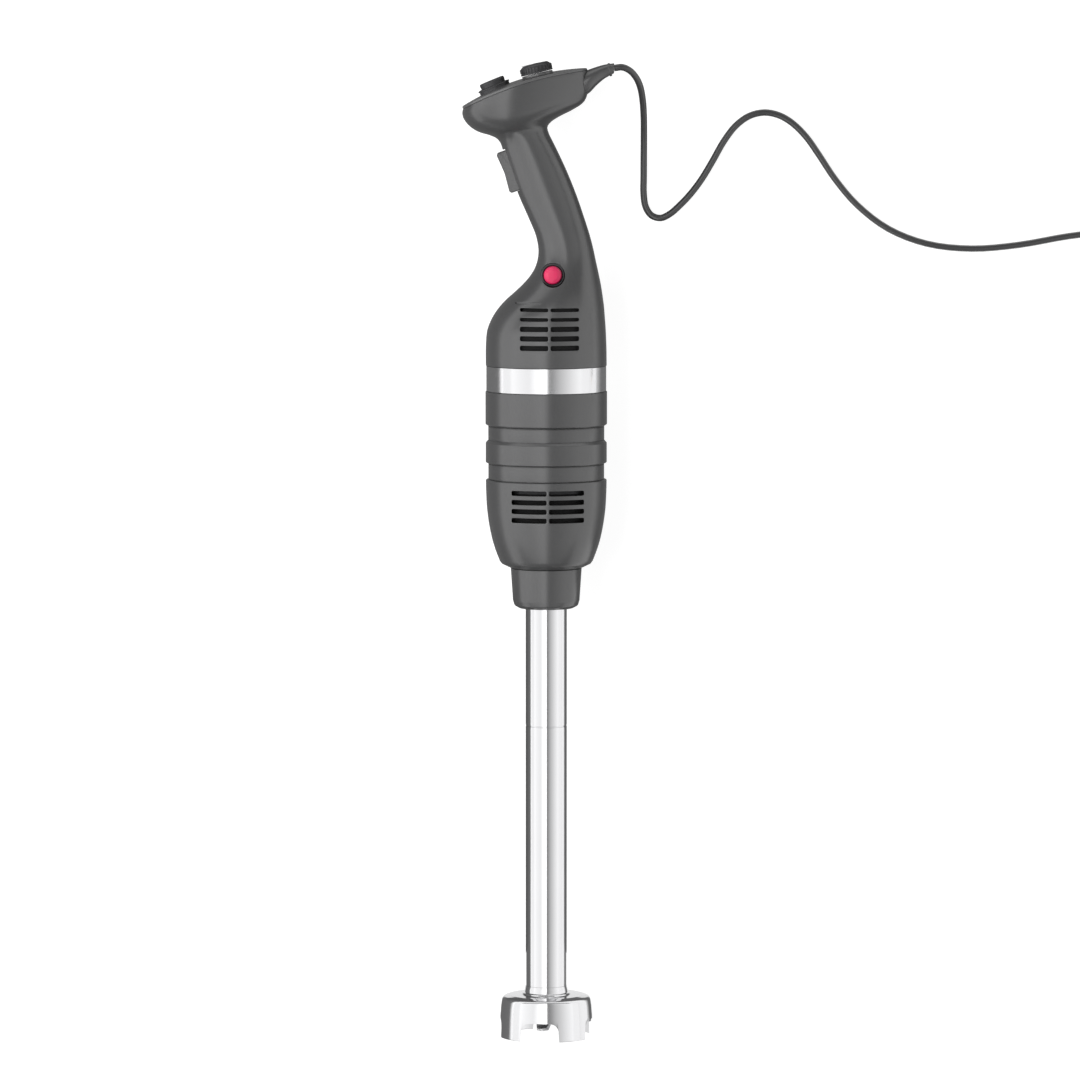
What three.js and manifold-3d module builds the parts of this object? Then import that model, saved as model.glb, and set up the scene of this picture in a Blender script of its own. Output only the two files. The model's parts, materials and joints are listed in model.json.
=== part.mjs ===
// A hand-held immersion blender (stick blender) of the catering kind, lying on its side on a worktop.
//
// Two frames are used, both in millimetres.
// The tool frame stands upright: +Z runs along the drive axis from the rim of the blade guard to the head,
// +X points to the side that the cord leaves from, and -Y is the side that carries the red lock button.
// The row frame is the one that is exported: the tool lies down in it, so tool +Z becomes row +Y, tool -Y
// becomes row +Z (up), and the worktop is the plane z = 0.
import * as THREE from "three";
import Module from "manifold-3d";
import { mergeVertices } from "three/addons/utils/BufferGeometryUtils.js";

const wasm = await Module();
wasm.setup();

// ---------------------------------------------------------------- driving dimensions
const GAP = 0.3; // running gap left between neighbouring pieces
const WALL = 2.6; // wall of the moulded shells
const ROUND = 32; // sides of a large round piece
const SMALL = 16; // sides of a small round piece

const BODY_R = 48.6; // largest radius of the motor housing, which the tool lies on
const GUARD_R = 37.5; // blade guard at its rim
const GUARD_TOP = 34;
const GUARD_ARCH = {
  count: 4,
  high: 17,
  halfAngle: THREE.MathUtils.degToRad(24),
  turn: THREE.MathUtils.degToRad(-7), // of the first window, from the side of the lock button
};
const TUBE_R = 16.5;
const TUBE_WALL = 1.2;
const TUBE_FOOT = 41.3;
const COLLAR_FOOT = 346.3; // the visible shaft is 346 mm long
const HOUSING_FOOT = 378.6;
const BAND_FOOT = 520.4;
const SHELL_FOOT = 540.8;
const SHAFT_R = 3.9;

const HEAD_TIP_X = -66.9; // furthest point of the head on the trigger side
const BOOT_END = { x: 54, z: 777.5 }; // where the cord leaves its boot

const DECK_TILT = THREE.MathUtils.degToRad(17.15);
const DECK = { x: -16.7, z: 760.3, half: 52, width: 33, egg: 0.3, camber: 5.2, crown: 1.8, thick: 2 };
const KNOB = { x: -7.2, z: 773.2, tilt: THREE.MathUtils.degToRad(13.8), r: 12.4, h: 8.4 };
const BUTTON = { x: -41.2, z: 761.9, tilt: THREE.MathUtils.degToRad(22.5), r: 10.4, h: 6.6 };
const TRIGGER = { x: -28.6, z: 696, tilt: THREE.MathUtils.degToRad(19.4), half: 16.8, proud: 6.2, width: 15 };
const PIN = { x: 5, z: -14, r: 1.5, half: 10.4 }; // the trigger's pivot, in the trigger's own frame
const LOCK = { x: 5.2, y: -27.6, z: 614, r: 7.2 };

const CORD_R = 2.65;

// ---------------------------------------------------------------- materials
const material = (color, roughness, metalness) =>
  new THREE.MeshStandardMaterial({ color, roughness, metalness });
const greyPlastic = material(0x5f5f61, 0.5, 0);
const deckPlastic = material(0x8d8d90, 0.3, 0);
const blackPlastic = material(0x2e2e30, 0.45, 0);
const redPlastic = material(0xe01f4b, 0.3, 0);
const rubber = material(0x3f3f41, 0.65, 0);
const stainless = material(0xd9dadc, 0.12, 1);
const steel = material(0xa8a8aa, 0.35, 1);
const lamination = material(0x55575a, 0.55, 1);
const copper = material(0xb56a36, 0.4, 1);
const bronze = material(0xa8834b, 0.4, 1);
const carbon = material(0x1c1c1d, 0.8, 0);
const boardGreen = material(0x1d5a38, 0.5, 0);

// ---------------------------------------------------------------- solids
// A closed three.js geometry as a solid that can be cut and joined.
function solid(geometry) {
  const bare = new THREE.BufferGeometry().setAttribute("position", geometry.getAttribute("position"));
  if (geometry.index) bare.setIndex(geometry.index);
  const merged = mergeVertices(bare, 1e-4);
  return new wasm.Manifold(
    new wasm.Mesh({
      numProp: 3,
      vertProperties: new Float32Array(merged.attributes.position.array),
      triVerts: new Uint32Array(merged.index.array),
    }),
  );
}

// The geometry of a solid, with flat shading.
function geometryOf(cut) {
  const mesh = cut.getMesh();
  const geometry = new THREE.BufferGeometry();
  geometry.setAttribute("position", new THREE.BufferAttribute(new Float32Array(mesh.vertProperties), 3));
  geometry.setIndex(new THREE.BufferAttribute(new Uint32Array(mesh.triVerts), 1));
  geometry.computeVertexNormals();
  return geometry;
}

// A turned shape about Z from [radius, height] points, listed anticlockwise with the axis on the left.
// A profile with a bore closes on itself; one without starts and ends on the axis.
function turned(points, sides = ROUND) {
  const profile = points.map(([r, z]) => new THREE.Vector2(r, z));
  if (points[0][0] > 0) profile.push(profile[0].clone());
  return new THREE.LatheGeometry(profile, sides).rotateX(Math.PI / 2);
}

const ring = (inner, outer, foot, top, sides = SMALL) =>
  turned([[inner, foot], [outer, foot], [outer, top], [inner, top]], sides);
const rod = (r, foot, top, sides = SMALL) => turned([[0, foot], [r, foot], [r, top], [0, top]], sides);

// A block between two corners.
function block([x0, y0, z0], [x1, y1, z1]) {
  const box = new THREE.BoxGeometry(x1 - x0, y1 - y0, z1 - z0);
  return box.translate((x0 + x1) / 2, (y0 + y1) / 2, (z0 + z1) / 2);
}

// A rod along Y at a place in the XZ plane.
const crossRod = (r, x, z, y0, y1, sides = SMALL) =>
  new THREE.CylinderGeometry(r, r, y1 - y0, sides).translate(x, (y0 + y1) / 2, z);

// Closed rings of points, all of one length, skinned into a closed body with a flat cap at each end.
function skinned(rings) {
  const n = rings[0].length;
  const centre = (loop) => loop.reduce((sum, p) => sum.add(p), new THREE.Vector3()).divideScalar(n);
  const vertices = [...rings.flat(), centre(rings[0]), centre(rings[rings.length - 1])];
  const faces = [];
  for (let k = 0; k + 1 < rings.length; k++)
    for (let i = 0; i < n; i++) {
      const [a, b] = [k * n + i, k * n + ((i + 1) % n)];
      faces.push(a, b, b + n, a, b + n, a + n);
    }
  const [foot, top] = [rings.length * n, rings.length * n + 1];
  const last = (rings.length - 1) * n;
  for (let i = 0; i < n; i++) {
    const j = (i + 1) % n;
    faces.push(j, i, foot, last + i, last + j, top);
  }
  const geometry = new THREE.BufferGeometry().setFromPoints(vertices);
  return geometry.setIndex(faces);
}

const vectors = (points) => points.map((p) => new THREE.Vector3(...p));

// A tube of one radius along a smooth curve through points.
function tubeAlong(points, r, steps, sides) {
  const section = new THREE.Shape(
    Array.from({ length: sides }, (_, i) => {
      const turn = (i / sides) * 2 * Math.PI;
      return new THREE.Vector2(r * Math.cos(turn), r * Math.sin(turn));
    }),
  );
  const path = new THREE.CatmullRomCurve3(points, false, "centripetal");
  return new THREE.ExtrudeGeometry(section, { steps, bevelEnabled: false, extrudePath: path });
}

// A compression spring standing on z = 0.
function spring(r, wire, height, turns) {
  const stepsPerTurn = 8;
  const count = turns * stepsPerTurn;
  const points = Array.from({ length: count + 1 }, (_, i) => {
    const turn = (i / stepsPerTurn) * 2 * Math.PI;
    const rise = wire + (i / count) * (height - 2 * wire);
    return new THREE.Vector3(r * Math.cos(turn), r * Math.sin(turn), rise);
  });
  return tubeAlong(points, wire, count, 4);
}

// ---------------------------------------------------------------- assembly helpers
const tool = new THREE.Group();

function add(name, shape, finish, parent = tool) {
  const geometry = shape.isBufferGeometry ? shape : geometryOf(shape);
  const mesh = new THREE.Mesh(geometry, finish);
  mesh.name = name;
  parent.add(mesh);
  return mesh;
}

// A nested frame at a place in the XZ plane whose Z axis leans towards -X by tilt.
function leaning(place) {
  const group = new THREE.Group();
  group.position.set(place.x, 0, place.z);
  group.rotation.y = -place.tilt;
  tool.add(group);
  return group;
}

// A shape given in such a frame, moved into the tool frame.
const leant = (geometry, place) => geometry.rotateY(-place.tilt).translate(place.x, 0, place.z);

// ---------------------------------------------------------------- handle and head shells
// Each station of the shell is a closed loop in a plane square to XZ: its two ends there, the half width
// across Y, and how much wider the loop is towards its left end.
const STATIONS = [
  { left: [-48.3, 540.8], right: [48.3, 540.8], width: 48.3 },
  { left: [-48.3, 555], right: [48.2, 555], width: 48.3 },
  { left: [-47.4, 567.7], right: [47.6, 567.7], width: 47.4 },
  { left: [-43.2, 579], right: [46.8, 579], width: 45.4 },
  { left: [-35.5, 590.2], right: [45.7, 590.2], width: 41.8 },
  { left: [-22.8, 601.4], right: [44.3, 601.4], width: 36.2 },
  { left: [-12.6, 612.7], right: [42.2, 612.7], width: 30 },
  { left: [-6.8, 625.5], right: [39.4, 625.5], width: 24.5 },
  { left: [-6.8, 638.4], right: [36.6, 638.4], width: 21.6 },
  { left: [-13.7, 657.7], right: [30.6, 657.7], width: 19.4 },
  { left: [-22.2, 676.9], right: [24, 676.9], width: 18.6 },
  { left: [-29, 696.2], right: [16.2, 696.2], width: 18.5 },
  { left: [-35.6, 715.5], right: [7.2, 715.5], width: 18.8 },
  { left: [-41.6, 723.6], right: [1.4, 728.5], width: 20, egg: 0.01 },
  { left: [-51.8, 726.2], right: [4.2, 735.2], width: 23.4, egg: 0.06 },
  { left: [-57.8, 729], right: [11.2, 739.6], width: 26.8, egg: 0.1, camber: 0.6 },
  { left: [-63, 733.4], right: [21.4, 744.8], width: 30.2, egg: 0.18, camber: 1.8 },
  { left: [HEAD_TIP_X, 742.4], right: [33.6, 762], width: 33, egg: 0.29, camber: 4.4 },
  {
    left: [DECK.x - DECK.half * Math.cos(DECK_TILT), DECK.z - DECK.half * Math.sin(DECK_TILT)],
    right: [DECK.x + DECK.half * Math.cos(DECK_TILT), DECK.z + DECK.half * Math.sin(DECK_TILT)],
    width: DECK.width,
    egg: DECK.egg,
    camber: DECK.camber,
  },
];

// The loop of one station, pulled in by inset and lifted along the station's own normal.
function loopOf({ left, right, width, egg = 0, camber = 0 }, inset = 0, lift = 0, sides = 24) {
  const [dx, dz] = [(right[0] - left[0]) / 2, (right[1] - left[1]) / 2];
  const half = Math.hypot(dx, dz);
  const [cx, cz] = [(left[0] + right[0]) / 2, (left[1] + right[1]) / 2];
  return Array.from({ length: sides }, (_, i) => {
    const turn = (i / sides) * 2 * Math.PI;
    const u = Math.cos(turn);
    const along = (u * (half - inset)) / half;
    const up = (lift + camber * (1 - u * u)) / half;
    const across = (width - inset) * Math.sin(turn) * (1 - egg * u);
    return new THREE.Vector3(cx + along * dx - up * dz, across, cz + along * dz + up * dx);
  });
}

const HEAD_FROM = 13; // the first station of the head, whose floor needs a lift as well as an inset

function shellHollow() {
  const loops = STATIONS.map((s, k) => loopOf(s, WALL, k >= HEAD_FROM ? 2 : 0));
  const below = loops[0].map((p) => p.clone().setZ(p.z - 5));
  const above = loopOf(STATIONS[STATIONS.length - 1], WALL, 8);
  return solid(skinned([below, ...loops, above]));
}

// The boot that carries the cord out of the head, as sections of
// [x, height of the centre, half height, half width].
const BOOT_SECTIONS = [
  [26.5, 763.8, 9.8, 9],
  [34, 767.2, 9.4, 9],
  [40, 771.3, 7.4, 7.6],
  [46, 774.7, 5.7, 5.8],
  [BOOT_END.x, BOOT_END.z, 4, 4.3],
];

function bootShape(grow) {
  const loops = BOOT_SECTIONS.map(([x, z, high, wide]) =>
    Array.from({ length: SMALL }, (_, i) => {
      const turn = (i / SMALL) * 2 * Math.PI;
      return new THREE.Vector3(x, (wide + grow) * Math.cos(turn), z + (high + grow) * Math.sin(turn));
    }),
  );
  return solid(skinned(loops));
}

// Air slots: rows of paired slots with a rib between them, cut through the near and the far wall.
function slots({ centre, foot, rows, pitch, high, halfWidth, rib }) {
  const cuts = [];
  for (const [near, far] of [[-60, -16], [16, 60]])
    for (let row = 0; row < rows; row++) {
      const [low, top] = [foot + row * pitch - high / 2, foot + row * pitch + high / 2];
      cuts.push(solid(block([centre - halfWidth, near, low], [centre - rib / 2, far, top])));
      cuts.push(solid(block([centre + rib / 2, near, low], [centre + halfWidth, far, top])));
    }
  return cuts;
}

const UPPER_SLOTS = { centre: 2.5, foot: 556.9, rows: 5, pitch: 7.5, high: 4, halfWidth: 23.4, rib: 1.9 };
const LOWER_SLOTS = { centre: 1.2, foot: 419.6, rows: 4, pitch: 7.25, high: 4, halfWidth: 28.8, rib: 1.9 };

// Places of the screws that close the two shells, all in the XZ plane.
const SCREWS = [
  { x: -37, z: 551 },
  { x: 37, z: 551 },
  { x: 31, z: 618 },
  { x: 6, z: 671 },
  { x: -19, z: 722 },
];
const SCREW = { head: 3, headHigh: 2.2, shank: 1.4, boss: 4.2, bore: 1.8, seat: 8 };

function shells() {
  const outer = solid(skinned(STATIONS.map((s) => loopOf(s))));
  let wall = outer.subtract(shellHollow());
  for (const { x, z } of SCREWS) {
    const boss = solid(crossRod(SCREW.boss, x, z, -60, 60, 10));
    wall = wall.add(boss.intersect(outer));
  }
  const [reach, side] = [TRIGGER.half + 0.5, TRIGGER.width / 2 + 0.5];
  const slot = leant(block([-reach, -side, -reach], [9, side, reach + 0.7]), TRIGGER);
  const pinBore = leant(crossRod(PIN.r + GAP, PIN.x, PIN.z, -PIN.half - GAP, PIN.half + GAP, 10), TRIGGER);
  wall = wall.subtract(solid(slot)).subtract(solid(pinBore)).subtract(bootShape(GAP));
  for (const cut of slots(UPPER_SLOTS)) wall = wall.subtract(cut);
  for (const { x, z } of SCREWS) {
    wall = wall.subtract(solid(crossRod(SCREW.bore, x, z, -SCREW.seat - GAP, 60, 8)));
    wall = wall.subtract(solid(crossRod(SCREW.head + 0.5, x, z, SCREW.seat, 60, 10)));
  }
  wall = wall.subtract(solid(crossRod(LOCK.r + 2.6, LOCK.x, LOCK.z, -60, -8, SMALL)));
  const half = (y0, y1) => wall.intersect(solid(block([-90, y0, 500], [90, y1, 820])));
  return { near: half(-70, -GAP / 2), far: half(GAP / 2, 70) };
}

// The plate that closes the head, domed along and across, with holes for the dial and the button.
function deckPlate() {
  const rim = STATIONS[STATIONS.length - 1];
  const layer = (scale, lift) => {
    const shrunk = loopOf({ ...rim, camber: 0 });
    const centre = new THREE.Vector3(DECK.x, 0, DECK.z);
    const up = new THREE.Vector3(-Math.sin(DECK_TILT), 0, Math.cos(DECK_TILT));
    return shrunk.map((p, i) => {
      const u = scale * Math.cos((i / shrunk.length) * 2 * Math.PI);
      const rise = lift + DECK.camber * (1 - u * u) + DECK.crown * (1 - scale * scale);
      return centre.clone().lerp(p, scale).addScaledVector(up, rise);
    });
  };
  const under = [0.3, 0.75, 0.97].map((scale) => layer(scale, GAP));
  const edge = [layer(1, GAP + 0.6), layer(1, GAP + 1.3)];
  const over = [0.97, 0.75, 0.3].map((scale) => layer(scale, GAP + DECK.thick));
  let plate = solid(skinned([...under, ...edge, ...over])).subtract(bootShape(GAP));
  plate = plate.subtract(solid(leant(rod(BUTTON.r + 0.5, -15, 15), BUTTON)));
  return plate.subtract(solid(leant(rod(4, -15, 15), KNOB)));
}

const { near, far } = shells();
add("handle_shell_near", near, greyPlastic);
add("handle_shell_far", far, greyPlastic);
add("top_deck", deckPlate(), deckPlastic);

SCREWS.forEach(({ x, z }, i) => {
  const head = solid(crossRod(SCREW.head, x, z, SCREW.seat + GAP, SCREW.seat + GAP + SCREW.headHigh, 10));
  const shank = solid(crossRod(SCREW.shank, x, z, -SCREW.seat, SCREW.seat + GAP + 0.2, 8));
  const slot = solid(block([x - 3.2, SCREW.seat + 1.6, z - 0.5], [x + 3.2, SCREW.seat + 4, z + 0.5]));
  add("shell_screw_" + (i + 1), head.add(shank).subtract(slot), steel);
});

// ---------------------------------------------------------------- motor housing, band, collar, tube, guard
function motorHousing() {
  const outside = [
    [24.4, HOUSING_FOOT],
    [36.2, 382.6],
    [39.9, 391],
    [43, 400.7],
    [46, 415],
    [48, 432],
    [48.3, 449.8],
    [46.3, 452],
    [46.3, 460.5],
    [48.4, 463.4],
    [48.4, 478.8],
    [46.4, 481.5],
    [46.4, 490.5],
    [BODY_R, 494.6],
    [BODY_R, BAND_FOOT - GAP],
    [46.4, BAND_FOOT - GAP],
    [46.4, SHELL_FOOT - 2 * GAP],
  ];
  const inside = [
    [44, SHELL_FOOT - 2 * GAP],
    [44, 440],
    [41.8, 414],
    [36, 393],
    [14, 384],
    [14, HOUSING_FOOT],
  ];
  let wall = solid(turned([...outside, ...inside]));
  for (const cut of slots(LOWER_SLOTS)) wall = wall.subtract(cut);
  return wall;
}
add("motor_housing", motorHousing(), greyPlastic);
add("steel_band", ring(46.4 + GAP, 47.8, BAND_FOOT, SHELL_FOOT - GAP, ROUND), stainless);
add(
  "shaft_collar",
  turned([
    [TUBE_R + GAP, COLLAR_FOOT],
    [23, COLLAR_FOOT],
    [26, 348.6],
    [27, 351.6],
    [28.3, HOUSING_FOOT - GAP],
    [12, HOUSING_FOOT - GAP],
    [12, 371.6],
    [TUBE_R + GAP, 371.6],
  ]),
  greyPlastic,
);
add("shaft_tube", ring(TUBE_R - TUBE_WALL, TUBE_R, TUBE_FOOT, 371.3, ROUND), stainless);

// An arched window in the rim of the guard, on one side of it.
function guardWindow(turn) {
  const [half, high] = [GUARD_R * Math.sin(GUARD_ARCH.halfAngle), GUARD_ARCH.high];
  const outline = new THREE.Shape();
  outline.moveTo(-half, -2);
  outline.lineTo(half, -2);
  outline.lineTo(half - 0.6, high * 0.5);
  outline.bezierCurveTo(half - 1.2, high * 0.85, half * 0.6, high, 0, high);
  outline.bezierCurveTo(-half * 0.6, high, 1.2 - half, high * 0.85, 0.6 - half, high * 0.5);
  const cut = new THREE.ExtrudeGeometry(outline, { depth: 30, bevelEnabled: false, curveSegments: 6 });
  return solid(cut.rotateX(Math.PI / 2).translate(0, -16, 0).rotateZ(turn));
}

function bladeGuard() {
  let cup = solid(
    turned([
      [GUARD_R - 1.6, 0],
      [GUARD_R, 0],
      [36.8, 18],
      [36, 27],
      [34.6, 31],
      [31.5, 33.4],
      [26, GUARD_TOP],
      [19.9, GUARD_TOP + 0.4],
      [18, 36.2],
      [TUBE_R + 0.8, TUBE_FOOT - GAP],
      [12, TUBE_FOOT - GAP],
      [12, 32.2],
      [27, 31.8],
      [32.4, 29.2],
      [34.4, 23],
    ]),
  );
  for (let i = 0; i < GUARD_ARCH.count; i++) {
    cup = cup.subtract(guardWindow(GUARD_ARCH.turn + (i / GUARD_ARCH.count) * 2 * Math.PI));
  }
  return cup;
}
add("blade_guard", bladeGuard(), stainless);

// ---------------------------------------------------------------- parts that spin with the motor
const BLADE_FOOT = 14;

function blade() {
  const wing = new THREE.Shape();
  wing.moveTo(4.8, -6.5);
  wing.lineTo(9, -6.5);
  wing.lineTo(27, -3);
  wing.quadraticCurveTo(29.5, 2, 26, 6.5);
  wing.lineTo(4.8, 6.5);
  const plate = () => new THREE.ExtrudeGeometry(wing, { depth: 2, bevelEnabled: false, curveSegments: 4 });
  const bent = (angle) => solid(plate().translate(-6, 0, 0).rotateY(angle).translate(6, 0, BLADE_FOOT));
  const low = bent(THREE.MathUtils.degToRad(16));
  const high = geometryOf(bent(THREE.MathUtils.degToRad(-16))).rotateZ(Math.PI);
  const disc = solid(rod(8.4, BLADE_FOOT, BLADE_FOOT + 2));
  return disc.add(low).add(solid(high));
}
add("blade", blade(), stainless).rotation.z = THREE.MathUtils.degToRad(-56);
const NUT_TOP = BLADE_FOOT - GAP - 0.4;
add("blade_nut", turned([[0, 9.6], [4.4, 9.6], [5.6, 10.8], [5.6, NUT_TOP], [0, NUT_TOP]], 6), steel);
add("blade_hub", rod(8, 17, 24.3), steel);
add("drive_shaft", rod(SHAFT_R, 24.6, 403), steel);
add("drive_coupling", ring(SHAFT_R + GAP, 9.4, 396, 411, 12), bronze);
add("motor_shaft", rod(SHAFT_R, 404, 534), steel);

function coolingFan() {
  const [foot, top, r, count] = [426, 438, 36, 9];
  let fan = solid(ring(SHAFT_R + GAP, 9.5, foot, top)).add(solid(ring(SHAFT_R + GAP, r, top - 1.6, top, 24)));
  for (let i = 0; i < count; i++) {
    const vane = block([8.5, -0.8, foot], [r - 0.5, 0.8, top - 1]).rotateZ((i / count) * 2 * Math.PI);
    fan = fan.add(solid(vane));
  }
  return fan;
}
add("cooling_fan", coolingFan(), blackPlastic);

function armature() {
  const [foot, top, r, slotsRound] = [452, 497, 20.6, 12];
  let core = solid(ring(SHAFT_R + GAP, r, foot, top, 24));
  for (let i = 0; i < slotsRound; i++) {
    const turn = ((i + 0.5) / slotsRound) * 2 * Math.PI;
    const groove = block([r - 5, -1, foot - 1], [r + 2, 1, top + 1]).rotateZ(turn);
    core = core.subtract(solid(groove));
  }
  return core;
}
add("armature_core", armature(), lamination);
add("commutator", ring(SHAFT_R + GAP, 10, 503, 517, 24), copper);

// ---------------------------------------------------------------- fixed parts of the motor
const STATOR = { foot: 452, top: 497, outer: 38, inner: 33.5, pole: 12 };

function statorCore() {
  const { foot, top, outer, inner, pole } = STATOR;
  let core = solid(ring(inner, outer, foot, top, 24));
  core = core.add(solid(block([-inner - 1, -pole, foot], [inner + 1, pole, top])));
  return core.subtract(solid(rod(21.5, foot - 1, top + 1, 24)));
}

// A winding round one pole: a flat frame of copper, on the side that sign gives.
function fieldCoil(sign) {
  const { foot, top, pole } = STATOR;
  const [x0, x1] = sign > 0 ? [22.2, 28.4] : [-28.4, -22.2];
  const full = solid(block([x0, -17.4, foot - 6.5], [x1, 17.4, top + 6.5]));
  const window = solid(block([x0 - 1, -pole - GAP, foot - GAP], [x1 + 1, pole + GAP, top + GAP]));
  return full.subtract(window);
}

function motorBracket(foot, top) {
  let plate = solid(ring(8.3, 43.4, foot, top, 24));
  for (let i = 0; i < 4; i++) {
    const turn = ((i + 0.5) / 4) * 2 * Math.PI;
    const hole = rod(10, foot - 1, top + 1, 10).translate(26 * Math.cos(turn), 26 * Math.sin(turn), 0);
    plate = plate.subtract(solid(hole));
  }
  return plate;
}
add("stator_core", statorCore(), lamination);
add("field_coil_left", fieldCoil(-1), copper);
add("field_coil_right", fieldCoil(1), copper);
add("motor_bracket_lower", motorBracket(440.5, 444), steel);
add("motor_bracket_upper", motorBracket(520.5, 524.5), steel);
add("motor_bearing_lower", ring(SHAFT_R + GAP, 8, 439.5, 445, 16), steel);
add("motor_bearing_upper", ring(SHAFT_R + GAP, 8, 519.5, 525.5, 16), steel);
for (const [side, sign] of [["left", -1], ["right", 1]]) {
  const span = (a, b) => (sign > 0 ? [a, b] : [-b, -a]);
  const [b0, b1] = span(10.4, 24);
  const [h0, h1] = span(14, 32);
  add("carbon_brush_" + side, block([b0, -3, 507], [b1, 3, 513]), carbon);
  const holder = solid(block([h0, -5.2, 504.8], [h1, 5.2, 515.2]));
  const [c0, c1] = span(12, 30);
  add("brush_holder_" + side, holder.subtract(solid(block([c0, -3.3, 506.7], [c1, 3.3, 513.3]))), bronze);
}

add("shaft_seal", ring(SHAFT_R + GAP, 11.7, 37, 42.5), rubber);
add("shaft_bush_lower", ring(SHAFT_R + GAP, TUBE_R - TUBE_WALL - GAP, 44, 60), bronze);
add("shaft_bush_upper", ring(SHAFT_R + GAP, TUBE_R - TUBE_WALL - GAP, 336, 348), bronze);

// ---------------------------------------------------------------- controls inside the handle
add("control_board", block([-12, 9, 558], [38, 10.6, 604]), boardGreen);

function wireLoom() {
  const route = [
    [22, 0, 764],
    [10, 6, 757],
    [-5, 9, 744],
    [-10, 9, 722],
    [0, 9, 700],
    [12, 9, 680],
    [15, 9, 665],
    [16, 10, 645],
    [16, 12, 628],
    [15, 13.5, 600],
  ];
  return tubeAlong(vectors(route), 2, 24, 6);
}
add("wire_loom", wireLoom(), blackPlastic);

// The trigger: a paddle on a pin at its lower end, in a frame whose Z axis runs along the handle's edge
// and whose -X axis points out of the handle.
const triggerFrame = leaning(TRIGGER);

function triggerPaddle() {
  const { half, proud, width } = TRIGGER;
  const outline = new THREE.Shape();
  outline.moveTo(5, half - 4);
  outline.lineTo(5, -9);
  outline.lineTo(8.4, -11);
  outline.lineTo(8.4, 1 - half);
  outline.lineTo(6.5, -half);
  outline.lineTo(-proud + 1.2, -half);
  outline.lineTo(-proud, -half + 1.4);
  outline.quadraticCurveTo(-proud + 1.6, 0, -proud, half - 1.4);
  outline.lineTo(-proud + 1.2, half);
  outline.lineTo(2, half);
  const plate = new THREE.ExtrudeGeometry(outline, { depth: width, bevelEnabled: false, curveSegments: 6 });
  const body = solid(plate.rotateX(Math.PI / 2).translate(0, width / 2, 0));
  return body.subtract(solid(crossRod(PIN.r + GAP, PIN.x, PIN.z, -20, 20, 10)));
}
add("trigger", triggerPaddle(), blackPlastic, triggerFrame);
add("trigger_pin", crossRod(PIN.r, PIN.x, PIN.z, -PIN.half, PIN.half, 10), steel, triggerFrame);
add("trigger_switch", block([11.5, -5, -6], [21, 5, 14]), blackPlastic, triggerFrame);
const triggerSpring = add("trigger_spring", spring(2.4, 0.4, 5.6, 3), steel, triggerFrame);
triggerSpring.rotation.y = Math.PI / 2;
triggerSpring.position.set(5.5, 0, 4);

// The speed dial on the deck, and the potentiometer below it.
const dialFrame = leaning(KNOB);

function speedDial() {
  const { r, h } = KNOB;
  let dial = solid(turned([[0, 0.6], [r, 0.6], [r, h - 2], [r - 1.6, h], [0, h]], 24));
  const [ridges, depth] = [12, 0.7];
  for (let i = 0; i < ridges; i++) {
    const turn = (i / ridges) * 2 * Math.PI;
    const flute = rod(0.9, 1.6, h - 2.4, 6).translate(r + 0.9 - depth, 0, 0).rotateZ(turn);
    dial = dial.subtract(solid(flute));
  }
  return dial.subtract(solid(block([-r, -0.5, h - 0.5], [-2, 0.5, h + 1])));
}
add("speed_dial", speedDial(), blackPlastic, dialFrame);
add("dial_spindle", rod(2.8, -6.3, 0.3, 12), steel, dialFrame);
add("speed_potentiometer", rod(8.2, -15, -6.6, 16), deckPlastic, dialFrame);

// The push button on the deck: a bezel, the cap that slides in it, its spring and its switch.
const buttonFrame = leaning(BUTTON);
add("button_bezel", ring(BUTTON.r + 0.4, 13.2, 1, 2.2, 24), blackPlastic, buttonFrame);
add(
  "boost_button",
  turned(
    [
      [0, -4],
      [2.2, -4],
      [2.2, -0.6],
      [BUTTON.r, -0.6],
      [BUTTON.r, BUTTON.h - 0.8],
      [BUTTON.r - 1, BUTTON.h],
      [0, BUTTON.h],
    ],
    24,
  ),
  blackPlastic,
  buttonFrame,
);
add("boost_switch", block([-5, -5, -16], [5, 5, -7.8]), blackPlastic, buttonFrame);
add("boost_spring", spring(3.4, 0.4, 6.4, 3), steel, buttonFrame).position.z = -7.3;

// The lock button on the near side of the handle's foot, pushed in along +Y.
const lockFrame = new THREE.Group();
lockFrame.position.set(LOCK.x, LOCK.y, LOCK.z);
lockFrame.rotation.x = Math.PI / 2; // its Z axis points out of the handle, towards -Y
tool.add(lockFrame);
add("lock_bezel", ring(LOCK.r + GAP, LOCK.r + 2.3, -7, -0.9), blackPlastic, lockFrame);
add(
  "lock_button",
  turned([
    [0, -8.6],
    [2, -8.6],
    [2, -5],
    [LOCK.r, -5],
    [LOCK.r, 0.6],
    [LOCK.r - 1, 1.5],
    [LOCK.r - 3.4, 2.1],
    [0, 2.4],
  ], SMALL),
  redPlastic,
  lockFrame,
);
add("lock_spring", spring(3.2, 0.4, 6, 3), steel, lockFrame).position.z = -11.4;
add("lock_bracket", block([-5, -6, -14.5], [9, 5, -12]), blackPlastic, lockFrame);

add("cord_boot", bootShape(0), rubber);

// ---------------------------------------------------------------- laying the tool down
// The origin is below the middle of the tool's box, on the worktop.
tool.rotation.x = -Math.PI / 2;
const middle = new THREE.Box3().setFromObject(tool, true).getCenter(new THREE.Vector3());
tool.position.set(-middle.x, -middle.y, BODY_R);

// ---------------------------------------------------------------- the cord, in the row frame
const part = new THREE.Group();
part.add(tool);

const PLUG_Z = 7;

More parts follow.
